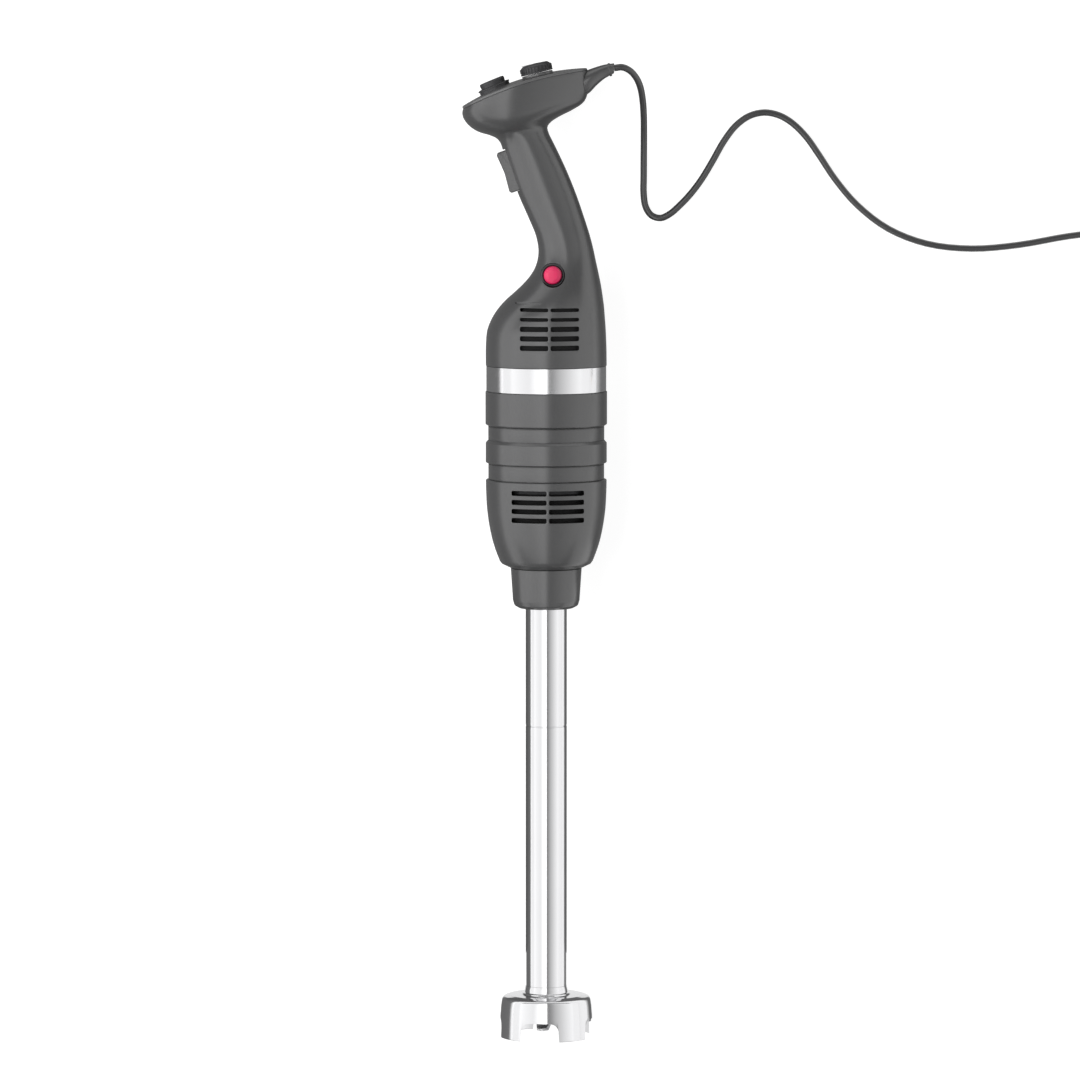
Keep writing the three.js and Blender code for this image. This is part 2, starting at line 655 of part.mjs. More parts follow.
// Points of the lead as [x, y, height] measured from the drive axis and the guard's rim, laid by hand:
// out of the boot, down to the worktop, then along it in loose curves to the coil.
const LEAD = [
  [54.4, 777.7, 48.6],
  [60.5, 778.3, 48.3],
  [66.5, 775.6, 46],
  [71.3, 770.4, 42.6],
  [74.8, 763, 38],
  [77, 752, 31],
  [78, 739, 23],
  [78.3, 722, 13],
  [78.3, 706, 6],
  [78.3, 690, 3.2],
  [78.3, 676, CORD_R],
  [80, 665.5, CORD_R],
  [84.8, 658.6, CORD_R],
  [92, 656.6, CORD_R],
  [99.5, 660, CORD_R],
  [107, 666.5, CORD_R],
  [116, 676, CORD_R],
  [125, 688, CORD_R],
  [134, 703, CORD_R],
  [142.5, 718, CORD_R],
  [152, 730.5, CORD_R],
  [163, 738.5, CORD_R],
  [175, 741.3, CORD_R],
  [187, 739, CORD_R],
  [198, 732.5, CORD_R],
  [209, 721.5, CORD_R],
  [219, 707.5, CORD_R],
  [232, 688, CORD_R],
  [250, 667, CORD_R],
  [275, 648, CORD_R],
  [306, 636, CORD_R],
  [342, 632, CORD_R],
  [380, 635, CORD_R],
  [420, 642, CORD_R],
  [459, 646, CORD_R],
];
const COIL = { x: 480, y: 611, inner: 22, outer: 38, high: 10.9 };
// The tail leaves the coil's upper layer and sags to the plug, which lies beside the coil.
const TAIL = [
  [515.4, 591, 7.9],
  [515.4, 577, 7.2],
  [515.4, 564, 6.9],
  [515.4, 550, PLUG_Z],
];
const PLUG = { long: 36, wide: 35, thick: 13.6, pinGap: 19, pinR: 2, pinLong: 19 };

const cord = new THREE.Group();
cord.position.set(-middle.x, -middle.y, 0);
part.add(cord);

add("cord_lead", tubeAlong(vectors(LEAD), CORD_R, 64, 8), rubber, cord);
const coil = add("cord_coil", ring(COIL.inner, COIL.outer, 0, COIL.high, 28), rubber, cord);
coil.position.set(COIL.x, COIL.y, 0);
add("cord_tail", tubeAlong(vectors(TAIL), CORD_R, 8, 8), rubber, cord);

// The plug, in a frame whose X axis runs from its pins towards its cord.
const plug = new THREE.Group();
plug.position.set(515.4, 549.7, PLUG_Z);
plug.rotation.z = Math.PI / 2;
cord.add(plug);

function plugBody() {
  const { long, wide, thick } = PLUG;
  const half = wide / 2;
  const outline = new THREE.Shape();
  outline.moveTo(0, -4);
  outline.bezierCurveTo(-8, -4.5, -10, -half, -18, -half);
  outline.lineTo(-long, 4 - half);
  outline.lineTo(-long, half - 4);
  outline.lineTo(-18, half);
  outline.bezierCurveTo(-10, half, -8, 4.5, 0, 4);
  const slab = new THREE.ExtrudeGeometry(outline, { depth: thick, bevelEnabled: false, curveSegments: 6 });
  return slab.translate(0, 0, -thick / 2);
}
add("plug_body", plugBody(), blackPlastic, plug);
for (const [label, sign] of [["a", -1], ["b", 1]]) {
  const pin = new THREE.CylinderGeometry(PLUG.pinR, PLUG.pinR, PLUG.pinLong, 12).rotateZ(Math.PI / 2);
  const middleX = -PLUG.long - GAP - PLUG.pinLong / 2;
  add("plug_pin_" + label, pin, bronze, plug).position.set(middleX, (sign * PLUG.pinGap) / 2, 0);
}

export default part;
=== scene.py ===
"""A catering immersion blender lying on its side on a white worktop, seen from above.

Shapes are given in millimetres in the tool's own frame, which stands upright: +Z runs along the drive
axis from the rim of the blade guard to the head, +X is the side that the cord leaves from and -Y is the
side with the red lock button. TOOL turns that frame into the row frame, in metres.
"""
import json
import math

import bmesh
import bpy
from mathutils import Matrix, Vector


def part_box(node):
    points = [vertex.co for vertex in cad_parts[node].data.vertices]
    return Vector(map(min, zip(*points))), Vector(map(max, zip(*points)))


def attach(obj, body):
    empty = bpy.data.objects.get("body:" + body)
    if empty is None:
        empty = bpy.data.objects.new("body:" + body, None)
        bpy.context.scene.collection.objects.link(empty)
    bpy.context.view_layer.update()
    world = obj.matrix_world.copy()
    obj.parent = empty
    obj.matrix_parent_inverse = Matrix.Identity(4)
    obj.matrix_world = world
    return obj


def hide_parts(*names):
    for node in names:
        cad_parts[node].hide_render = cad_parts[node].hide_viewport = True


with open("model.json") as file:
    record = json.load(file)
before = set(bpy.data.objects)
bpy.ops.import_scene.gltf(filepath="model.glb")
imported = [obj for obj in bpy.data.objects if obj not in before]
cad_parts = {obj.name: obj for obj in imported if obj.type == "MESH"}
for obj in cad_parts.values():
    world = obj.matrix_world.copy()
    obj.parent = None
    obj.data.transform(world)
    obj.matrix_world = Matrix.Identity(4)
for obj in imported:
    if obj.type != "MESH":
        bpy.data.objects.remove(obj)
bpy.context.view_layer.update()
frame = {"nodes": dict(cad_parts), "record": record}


def at(x, y, z):
    return Matrix.Translation((x, y, z))


def spin(axis, degrees):
    return Matrix.Rotation(math.radians(degrees), 4, axis)


MM = 0.001
housing_low, housing_high = (Vector(corner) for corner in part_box("motor_housing"))
housing_middle = (housing_low + housing_high) / 2
guard_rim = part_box("blade_guard")[0][1]
RIM = Vector((housing_middle.x, guard_rim, housing_middle.z))  # on the drive axis
TOOL = Matrix.Translation(RIM) @ spin("X", -90) @ Matrix.Scale(MM, 4)
WORKTOP = at(RIM.x, RIM.y, 0) @ Matrix.Scale(MM, 4)  # the same place, on the worktop

FULL_TURN = 2 * math.pi
BODY = "motor_unit"


def leaning(x, z, tilt):
    """A frame in the tool's XZ plane whose Z axis leans towards -X by tilt degrees."""
    return TOOL @ at(x, 0, z) @ spin("Y", -tilt)


# -------------------- sizes that several pieces share
WALL = 2.6
SEAM = 0.15  # half the gap between the two handle shells
BAND_FOOT, SHELL_FOOT = 520.4, 540.8
COLLAR_FOOT, HOUSING_FOOT = 346.3, 378.6
TUBE_R, TUBE_FOOT = 16.5, 41.3
DECK = {"x": -16.7, "z": 760.3, "camber": 5.2, "crown": 1.8, "tilt": 17.1, "thick": 2}
TRIGGER = leaning(-28.6, 696, 19.4)
DIAL = leaning(-7.2, 773.2, 13.8)
BUTTON = leaning(-41.2, 761.9, 22.5)
LOCK = TOOL @ at(5.2, -27.6, 614) @ spin("X", 90)
SCREWS = ((-37, 551), (37, 551), (31, 618), (6, 671), (-19, 722))
CORD_R = 2.65

# -------------------- camera
VIEW_LEAN = math.radians(4.9)  # towards the head
VIEW_DISTANCE = 5.5
LOOKED_AT = TOOL @ Vector((-5, 0, 400.7))
LENS = 229
towards = Vector((0, math.sin(VIEW_LEAN), math.cos(VIEW_LEAN)))
upwards = Vector((0, math.cos(VIEW_LEAN), -math.sin(VIEW_LEAN)))
camera = bpy.data.objects.new("camera", bpy.data.cameras.new("camera"))
camera.data.lens = LENS
camera.matrix_world = Matrix.Translation(LOOKED_AT + towards * VIEW_DISTANCE) @ Matrix(
    (Vector((1, 0, 0)), upwards, towards)
).transposed().to_4x4()
bpy.context.scene.collection.objects.link(camera)
bpy.context.scene.camera = camera


# -------------------- curves and meshes
def through(points, steps):
    """Points along a smooth curve through the given ones, whose knots are the roots of their distances."""
    points = [Vector(p) for p in points]
    ends = [2 * points[0] - points[1], *points, 2 * points[-1] - points[-2]]
    curve = []
    for a, b, c, d in zip(ends, ends[1:], ends[2:], ends[3:]):
        tb = (b - a).length ** 0.5
        tc = tb + (c - b).length ** 0.5
        td = tc + (d - c).length ** 0.5
        for k in range(steps):
            t = tb + (tc - tb) * k / steps
            ab = a.lerp(b, t / tb)
            bc = b.lerp(c, (t - tb) / (tc - tb))
            cd = c.lerp(d, (t - tc) / (td - tc))
            abc = ab.lerp(bc, t / tc)
            bcd = bc.lerp(cd, (t - tb) / (td - tb))
            curve.append(abc.lerp(bcd, (t - tb) / (tc - tb)))
    return curve + [points[-1]]


def rounded(outline, steps=5):
    """An outline whose points may name a corner radius, with those corners turned into arcs.

    It closes on itself unless it starts on the axis.
    """
    closed = outline[0][0] != 0
    last = len(outline) - 1
    curve = []
    for i, (x, y, *radius) in enumerate(outline):
        corner = Vector((x, y))
        if not radius or (not closed and i in (0, last)):
            curve.append(corner)
            continue
        before = Vector(outline[i - 1][:2]) - corner
        after = Vector(outline[(i + 1) % len(outline)][:2]) - corner
        reach = radius[0] / math.tan(before.angle(after) / 2)
        reach = min(reach, 0.49 * before.length, 0.49 * after.length)
        start = corner + before.normalized() * reach
        end = corner + after.normalized() * reach
        for k in range(steps + 1):
            t = k / steps
            curve.append(start * (1 - t) ** 2 + corner * 2 * t * (1 - t) + end * t * t)
    return [tuple(p) for p in curve]


def piece(name, verts, faces, place=TOOL):
    """A new object with this mesh, its doubles merged and its faces pointing out."""
    mesh = bpy.data.meshes.new(name)
    mesh.from_pydata([place @ Vector(v) for v in verts], [], faces)
    shape = bmesh.new()
    shape.from_mesh(mesh)
    bmesh.ops.remove_doubles(shape, verts=shape.verts, dist=1e-6)
    bmesh.ops.recalc_face_normals(shape, faces=shape.faces)
    shape.to_mesh(mesh)
    shape.free()
    made = bpy.data.objects.new(name, mesh)
    bpy.context.scene.collection.objects.link(made)
    return made


def turned(name, profile, sides=160, place=TOOL):
    """A turned piece from (radius, height) points."""
    count = len(profile)
    spans = count if profile[0][0] > 0 else count - 1
    verts, faces = [], []
    for i in range(sides):
        turn = FULL_TURN * i / sides
        verts += [(r * math.cos(turn), r * math.sin(turn), z) for r, z in profile]
        here, after = i * count, (i + 1) % sides * count
        for k in range(spans):
            up = (k + 1) % count
            faces.append((here + k, after + k, after + up, here + up))
    return piece(name, verts, faces, place)


def walled(name, outer, inner, place=TOOL):
    """A wall between two grids of points of one size, closed along all its edges."""
    rows, columns = len(outer), len(outer[0])
    across = rows * columns
    quads = []
    for r in range(rows - 1):
        for c in range(columns - 1):
            i = r * columns + c
            quads.append((i, i + 1, i + columns + 1, i + columns))
    border = [*range(columns - 1), *range(columns - 1, across - 1, columns)]
    border += [*range(across - 1, across - columns, -1), *range(across - columns, 0, -columns)]
    faces = quads + [tuple(i + across for i in quad) for quad in quads]
    faces += [(a, b, b + across, a + across) for a, b in zip(border, border[1:] + border[:1])]
    return piece(name, [p for row in outer + inner for p in row], faces, place)


def skinned(name, rings, place=TOOL):
    """A closed body through rings of points of one length, with a flat cap at each end."""
    count = len(rings[0])
    faces = []
    for k in range(len(rings) - 1):
        for i in range(count):
            a, b = k * count + i, k * count + (i + 1) % count
            faces.append((a, b, b + count, a + count))
    last = (len(rings) - 1) * count
    faces += [tuple(range(count)), tuple(range(last, last + count))]
    return piece(name, [p for ring in rings for p in ring], faces, place)


def prism(name, outline, low, high, place=TOOL):
    """An outline in XY with straight sides from z = low to z = high."""
    return skinned(name, [[(x, y, z) for x, y in outline] for z in (low, high)], place)


def settle(target):
    """Makes the result of the piece's modifiers its own mesh."""
    bpy.context.view_layer.update()
    result = target.evaluated_get(bpy.context.evaluated_depsgraph_get())
    mesh = bpy.data.meshes.new_from_object(result)
    target.modifiers.clear()
    target.data = mesh


def cut(target, *tools):
    """Takes the tools out of the piece."""
    for tool in tools:
        step = target.modifiers.new(tool.name, "BOOLEAN")
        step.operation = "DIFFERENCE"
        step.solver = "EXACT"
        step.object = tool
    settle(target)
    for tool in tools:
        bpy.data.objects.remove(tool)


def ease(target, width, angle=40, segments=2):
    """Takes the sharpness off the edges that turn by more than angle."""
    step = target.modifiers.new("ease", "BEVEL")
    step.width = width * MM
    step.segments = segments
    step.limit_method = "ANGLE"
    step.angle_limit = math.radians(angle)
    settle(target)


def joined(target, *others):
    """Adds the other pieces' meshes to the first piece."""
    shape = bmesh.new()
    for part in (target, *others):
        shape.from_mesh(part.data)
    shape.to_mesh(target.data)
    shape.free()
    for part in others:
        bpy.data.objects.remove(part)
    return target


def finished(target, material, slot, body, *nodes, crease=32):
    """Gives a piece its material, its shading and its body, and hides the CAD nodes that it stands for."""
    target.data.materials.clear()
    target.data.materials.append(material)
    target.data.shade_smooth()
    target.data.set_sharp_from_angle(angle=math.radians(crease))
    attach(target, body)
    if nodes:
        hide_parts(*nodes)
    return target


# -------------------- node trees
def add_node(tree, kind, inputs=None, **settings):
    """A node with its settings and with its inputs set to values or linked to sockets."""
    made = tree.nodes.new(kind)
    for key, value in settings.items():
        setattr(made, key, value)
    for key, value in (inputs or {}).items():
        if isinstance(value, bpy.types.NodeSocket):
            tree.links.new(value, made.inputs[key])
        else:
            made.inputs[key].default_value = value
    return made


def math_node(tree, operation, *values):
    return add_node(tree, "ShaderNodeMath", dict(enumerate(values)), operation=operation).outputs[0]


def socket_kind(value):
    """The kind of socket that holds a value like this one, None standing for a shape."""
    if value is None:
        return "NodeSocketGeometry"
    if isinstance(value, tuple):
        return "NodeSocketColor" if len(value) == 4 else "NodeSocketVector"
    return "NodeSocketInt" if isinstance(value, int) else "NodeSocketFloat"


def new_tree(name, kind, inputs, outputs):
    """A node tree whose sockets are given as name: value like the one that they hold."""
    tree = bpy.data.node_groups.new(name, kind)
    for label, value in inputs.items():
        socket = tree.interface.new_socket(label, in_out="INPUT", socket_type=socket_kind(value))
        if value is not None:
            socket.default_value = value
    for label, value in outputs.items():
        tree.interface.new_socket(label, in_out="OUTPUT", socket_type=socket_kind(value))
    return tree, tree.nodes.new("NodeGroupInput").outputs, tree.nodes.new("NodeGroupOutput")


def shape_tree(name, inputs):
    return new_tree(name, "GeometryNodeTree", inputs, {"Geometry": None})


def finish_tree(tree, result, output):
    """Ends a tree in Realize Instances and Set Material."""
    real = add_node(tree, "GeometryNodeRealizeInstances", {0: result})
    painted = add_node(tree, "GeometryNodeSetMaterial", {"Geometry": real.outputs[0]})
    tree.links.new(painted.outputs[0], output.inputs[0])


def row_of_bars():
    """Solid bars with rounded corners in a row along Y, their length along X and their depth along Z."""
    tree, given, output = shape_tree(
        "row of bars",
        {"Count": 4, "Pitch": 7.0, "Length": 20.0, "Height": 4.0, "Depth": 10.0, "Corner": 1.0},
    )
    size = {"Width": given["Length"], "Height": given["Height"]}
    outline = add_node(tree, "GeometryNodeCurvePrimitiveQuadrilateral", size)
    corners = {"Curve": outline.outputs[0], "Count": 4, "Radius": given["Corner"]}
    soft = add_node(tree, "GeometryNodeFilletCurve", corners, mode="POLY")
    face = add_node(tree, "GeometryNodeFillCurve", {0: soft.outputs[0]}, mode="NGONS")
    reach = {"Mesh": face.outputs[0], "Offset Scale": given["Depth"], "Individual": False}
    raised = add_node(tree, "GeometryNodeExtrudeMesh", reach)
    back = add_node(tree, "GeometryNodeFlipFaces", {0: face.outputs[0]})
    shut = add_node(tree, "GeometryNodeJoinGeometry", {0: raised.outputs[0]})
    tree.links.new(back.outputs[0], shut.inputs[0])
    bar = add_node(tree, "GeometryNodeMergeByDistance", {"Geometry": shut.outputs[0], "Distance": 1e-3})
    step = add_node(tree, "ShaderNodeCombineXYZ", {"Y": given["Pitch"]})
    line = add_node(tree, "GeometryNodeMeshLine", {"Count": given["Count"], "Offset": step.outputs[0]})
    copies = {"Points": line.outputs[0], "Instance": bar.outputs[0]}
    row = add_node(tree, "GeometryNodeInstanceOnPoints", copies)
    finish_tree(tree, row.outputs[0], output)
    return tree


def ring_of_bars():
    """Bars set round an arc about Z, each with its length along the radius."""
    tree, given, output = shape_tree(
        "ring of bars",
        {"Count": 12, "Radius": 10.0, "Start": 0.0, "Step": 0.5, "Length": 2.0, "Width": 0.8, "Height": 5.0},
    )
    index = add_node(tree, "GeometryNodeInputIndex").outputs[0]
    turn = math_node(tree, "MULTIPLY_ADD", index, given["Step"], given["Start"])
    across = math_node(tree, "MULTIPLY", math_node(tree, "COSINE", turn), given["Radius"])
    along = math_node(tree, "MULTIPLY", math_node(tree, "SINE", turn), given["Radius"])
    place = add_node(tree, "ShaderNodeCombineXYZ", {"X": across, "Y": along}).outputs[0]
    points = add_node(tree, "GeometryNodePoints", {"Count": given["Count"], "Position": place})
    facing = add_node(tree, "ShaderNodeCombineXYZ", {"Z": turn})
    sides = {"X": given["Length"], "Y": given["Width"], "Z": given["Height"]}
    size = add_node(tree, "ShaderNodeCombineXYZ", sides)
    bar = add_node(tree, "GeometryNodeMeshCube", {"Size": size.outputs[0]})
    copies = {"Points": points.outputs[0], "Instance": bar.outputs[0], "Rotation": facing.outputs[0]}
    ring = add_node(tree, "GeometryNodeInstanceOnPoints", copies)
    finish_tree(tree, ring.outputs[0], output)
    return tree


def cross_screws():
    """Pan-head screws with a cross recess, one on each vertex of the mesh, their heads towards +Z."""
    tree, given, output = shape_tree(
        "cross screws",
        {"Geometry": None, "Head Radius": 3.0, "Head Height": 2.2, "Recess Width": 0.9},
    )
    top = math_node(tree, "MULTIPLY", given["Head Radius"], 0.72)
    cone = {
        "Vertices": 32,
        "Side Segments": 3,
        "Fill Segments": 1,
        "Radius Top": top,
        "Radius Bottom": given["Head Radius"],
        "Depth": given["Head Height"],
    }
    low = add_node(tree, "GeometryNodeMeshCone", cone)
    long = math_node(tree, "MULTIPLY", given["Head Radius"], 1.15)
    slots = []
    for x, y in ((long, given["Recess Width"]), (given["Recess Width"], long)):
        size = add_node(tree, "ShaderNodeCombineXYZ", {"X": x, "Y": y, "Z": given["Head Height"]})
        slots.append(add_node(tree, "GeometryNodeMeshCube", {"Size": size.outputs[0]}).outputs[0])
    cross = add_node(tree, "GeometryNodeMeshBoolean", {"Mesh 2": slots[0]}, operation="UNION")
    tree.links.new(slots[1], cross.inputs["Mesh 2"])
    height = math_node(tree, "MULTIPLY", given["Head Height"], 1.4)
    rise = add_node(tree, "ShaderNodeCombineXYZ", {"Z": height})
    shift = {"Geometry": cross.outputs[0], "Translation": rise.outputs[0]}
    lifted = add_node(tree, "GeometryNodeTransform", shift)
    pair = {"Mesh 1": low.outputs[0], "Mesh 2": lifted.outputs[0]}
    head = add_node(tree, "GeometryNodeMeshBoolean", pair, operation="DIFFERENCE")
    copies = {"Points": given["Geometry"], "Instance": head.outputs[0]}
    screws = add_node(tree, "GeometryNodeInstanceOnPoints", copies)
    finish_tree(tree, screws.outputs[0], output)
    return tree


def grown(name, tree, values, place, points=()):
    """A plain mesh that a tree makes in a place from named values and, where it asks for them, points."""
    mesh = bpy.data.meshes.new(name)
    mesh.from_pydata(list(points), [], [])
    made = bpy.data.objects.new(name, mesh)
    bpy.context.scene.collection.objects.link(made)
    step = made.modifiers.new(name, "NODES")
    step.node_group = tree
    for item in tree.interface.items_tree:
        if item.in_out == "INPUT" and item.name in values:
            step[item.identifier] = values[item.name]
    settle(made)
    made.data.transform(place)
    made.data.materials.clear()
    return made


ROW_OF_BARS = row_of_bars()
RING_OF_BARS = ring_of_bars()
CROSS_SCREWS = cross_screws()


# -------------------- shared effects of the finishes
def finish_effect(name, inputs):
    outputs = {"Colour": (0, 0, 0, 1), "Roughness": 0.0, "Height": 0.0}
    return new_tree(name, "ShaderNodeTree", inputs, outputs)


def noise(tree, where, scale, detail, roughness=0.5):
    inputs = {"Vector": where, "Scale": scale, "Detail": detail, "Roughness": roughness}
    return add_node(tree, "ShaderNodeTexNoise", inputs).outputs["Fac"]


def moulded_skin():
    """The skin of a moulded part: fine spark texture, slow changes of gloss and faint handling marks."""
    tree, given, output = finish_effect(
        "moulded skin",
        {"Colour": (0.1, 0.1, 0.1, 1), "Gloss": 0.4, "Grain Size": 0.5, "Unevenness": 0.06},
    )
    where = add_node(tree, "ShaderNodeTexCoord").outputs["Object"]
    fine = math_node(tree, "DIVIDE", 1000.0, given["Grain Size"])
    grain = noise(tree, where, fine, 2.0, 0.6)
    slow = noise(tree, where, 26.0, 4.0, 0.55)
    shift = math_node(tree, "MULTIPLY", math_node(tree, "SUBTRACT", slow, 0.5), given["Unevenness"])
    speck = math_node(tree, "MULTIPLY", math_node(tree, "SUBTRACT", grain, 0.5), 0.05)
    value = math_node(tree, "ADD", 1.0, math_node(tree, "MULTIPLY_ADD", shift, 2.0, speck))
    tint = add_node(tree, "ShaderNodeHueSaturation", {"Color": given["Colour"], "Value": value})
    matt = math_node(tree, "SUBTRACT", 1.0, given["Gloss"])
    uneven = math_node(tree, "ADD", matt, math_node(tree, "MULTIPLY_ADD", shift, 1.5, speck))
    tree.links.new(tint.outputs[0], output.inputs["Colour"])
    tree.links.new(uneven, output.inputs["Roughness"])
    tree.links.new(grain, output.inputs["Height"])
    return tree


def polished_metal():
    """Worked metal: lines left by the tool round or along the piece, and a faint smear from handling."""
    tree, given, output = finish_effect(
        "polished metal",
        {"Colour": (0.8, 0.8, 0.8, 1), "Roughness": 0.1, "Lines": (1, 400, 1), "Line Strength": 0.06},
    )
    where = add_node(tree, "ShaderNodeTexCoord").outputs["Object"]
    stretched = add_node(tree, "ShaderNodeMapping", {"Vector": where, "Scale": given["Lines"]})
    lines = noise(tree, stretched.outputs[0], 12.0, 3.0, 0.7)
    smear = noise(tree, where, 18.0, 5.0)
    spread = math_node(tree, "MULTIPLY", math_node(tree, "SUBTRACT", lines, 0.5), given["Line Strength"])
    cloud = math_node(tree, "MULTIPLY", math_node(tree, "SUBTRACT", smear, 0.5), 0.05)
    rough = math_node(tree, "ADD", given["Roughness"], math_node(tree, "ADD", spread, cloud))
    value = math_node(tree, "ADD", 1.0, math_node(tree, "MULTIPLY", cloud, 0.8))
    tint = add_node(tree, "ShaderNodeHueSaturation", {"Color": given["Colour"], "Value": value})
    tree.links.new(tint.outputs[0], output.inputs["Colour"])
    tree.links.new(rough, output.inputs["Roughness"])
    tree.links.new(lines, output.inputs["Height"])
    return tree


MOULDED_SKIN = moulded_skin()
POLISHED_METAL = polished_metal()


def material_from(name, effect, values, relief, shader):
    """A material whose colour, roughness and relief come from a shared effect.

    relief is how high the effect's height stands, in millimetres, and shader holds the values that are
    the same all over the surface.
    """
    made = bpy.data.materials.new(name)
    made.use_nodes = True
    tree = made.node_tree
    surface = tree.nodes["Principled BSDF"]
    for key, value in shader.items():
        surface.inputs[key].default_value = value
    skin = add_node(tree, "ShaderNodeGroup", node_tree=effect)
    for key, value in values.items():
        skin.inputs[key].default_value = value
    bump = add_node(tree, "ShaderNodeBump", {"Height": skin.outputs["Height"], "Distance": relief * MM})
    tree.links.new(skin.outputs["Colour"], surface.inputs["Base Color"])
    tree.links.new(skin.outputs["Roughness"], surface.inputs["Roughness"])
    tree.links.new(bump.outputs[0], surface.inputs["Normal"])
    made.diffuse_color = values["Colour"]
    return made


def plastic(name, colour, gloss, grain=0.5, relief=0.02, uneven=0.06, **shader):
    values = {"Colour": (*colour, 1), "Gloss": gloss, "Grain Size": grain, "Unevenness": uneven}
    return material_from(name, MOULDED_SKIN, values, relief, shader)


def metal(name, colour, roughness, lines=(1, 400, 1), strength=0.06, relief=0.001):
    values = {"Colour": (*colour, 1), "Roughness": roughness, "Lines": lines, "Line Strength": strength}
    return material_from(name, POLISHED_METAL, values, relief, {"Metallic": 1.0})


sheen = {"Coat Weight": 1.0, "Coat Roughness": 0.25}
charcoal_moulding = plastic("charcoal moulding", (0.042, 0.042, 0.043), 0.66, relief=0.006, **sheen)
deck_moulding = plastic("deck moulding", (0.08, 0.08, 0.082), 0.66, relief=0.004, **sheen)
black_moulding = plastic("black moulding", (0.028, 0.028, 0.03), 0.6, relief=0.01)
trigger_moulding = plastic("trigger moulding", (0.037, 0.037, 0.038), 0.62, relief=0.008, **sheen)
scale_print = plastic("scale print", (0.62, 0.62, 0.62), 0.4, relief=0.002)
red_cap_plastic = plastic(
    "red cap plastic", (0.6, 0.02, 0.095), 0.66, relief=0.001, uneven=0.02, **{"Coat Weight": 0.1}
)
cord_sheath = plastic("cord sheath", (0.014, 0.014, 0.015), 0.66, grain=0.8, relief=0.006, **sheen)
# Near-black colour of the sheets behind the air slots, which paint shade into the slots.
slot_shade_black = plastic("slot shade black", (0.004, 0.004, 0.004), 0.1, grain=1.2)
boot_rubber = plastic("boot rubber", (0.04, 0.04, 0.041), 0.62, relief=0.006, **sheen)
seal_rubber = plastic("seal rubber", (0.02, 0.02, 0.02), 0.35)
board_green = plastic("board green", (0.01, 0.09, 0.045), 0.65, relief=0.004)
pressed_carbon = plastic("pressed carbon", (0.012, 0.012, 0.012), 0.3)
polished_tube = metal("polished tube", (0.72, 0.72, 0.73), 0.1, lines=(40, 2, 40))
polished_guard = metal("polished guard", (0.72, 0.72, 0.73), 0.1, lines=(2, 60, 2))
brushed_band = metal("brushed band", (0.72, 0.72, 0.73), 0.16, lines=(1, 90, 1), strength=0.14)
blade_steel = metal("blade steel", (0.72, 0.72, 0.73), 0.34, lines=(60, 60, 4), strength=0.14)
bracket_steel = metal("bracket steel", (0.05, 0.05, 0.052), 0.6, lines=(20, 90, 20), strength=0.14)
plain_steel = metal("plain steel", (0.5, 0.5, 0.51), 0.32, lines=(20, 90, 20), strength=0.14)
plug_brass = metal("plug brass", (0.78, 0.6, 0.3), 0.22, lines=(20, 60, 20), strength=0.1)
sintered_bronze = metal("sintered bronze", (0.5, 0.33, 0.16), 0.4, lines=(90, 90, 90), strength=0.2)
wound_copper = metal("wound copper", (0.55, 0.2, 0.08), 0.35, lines=(2, 90, 2), strength=0.3)
laminated_steel = metal("laminated steel", (0.14, 0.14, 0.145), 0.45, lines=(1, 200, 1), strength=0.3)

HIDDEN_FINISH = {
    "charcoal_plastic": charcoal_moulding,
    "deck_plastic": deck_moulding,
    "black_plastic": black_moulding,
    "red_plastic": red_cap_plastic,
    "polished_stainless": blade_steel,
    "plain_steel": bracket_steel,
    "laminated_steel": laminated_steel,
    "copper_wire": wound_copper,
    "bronze": sintered_bronze,
    "carbon": pressed_carbon,
    "circuit_board": board_green,
    "cord_sheath": cord_sheath,
    "shaft_rubber": seal_rubber,
}

# -------------------- the cord
# Out of the boot, down to the worktop and along it in loose curves: (x, along the axis, height).
LEAD = [
    (54.0, 777.7, 48.6), (60.5, 778.3, 48.3), (66.5, 775.6, 46), (71.3, 770.4, 42.6), (74.8, 763, 38),
    (77, 752, 31), (78, 739, 23), (78.3, 722, 13), (78.3, 706, 6), (78.3, 690, 3.2),
]
ON_WORKTOP = [
    (78.3, 676), (80, 665.5), (84.8, 658.6), (92, 656.6), (99.5, 660), (107, 666.5), (116, 676),
    (125, 688), (134, 703), (142.5, 718), (152, 730.5), (163, 738.5), (175, 741.3), (187, 739),
    (198, 732.5), (209, 721.5), (219, 707.5), (232, 688), (250, 667), (275, 648), (306, 636),
    (342, 632), (380, 635), (420, 642), (452, 645.4),
]
LEAD += [(x, along, CORD_R) for x, along in ON_WORKTOP]
# The coil has one radius for each turn, the first half of them on the worktop and the rest on top.
COIL = {"x": 480, "y": 611, "radii": (35.3, 30, 24.7, 24.7, 30, 35.3), "layer": 5.3, "turns": 5.25}
CHANGE_FROM = 0.75  # the share of a turn after which the cord moves over to the next one
TAIL = [
    (515.4, along, height)
    for along, height in ((603, 7.95), (591, 7.9), (577, 7.3), (564, 7), (550.4, 7))
]
PLUG = WORKTOP @ at(515.4, 549.7, 7) @ spin("Z", 90)


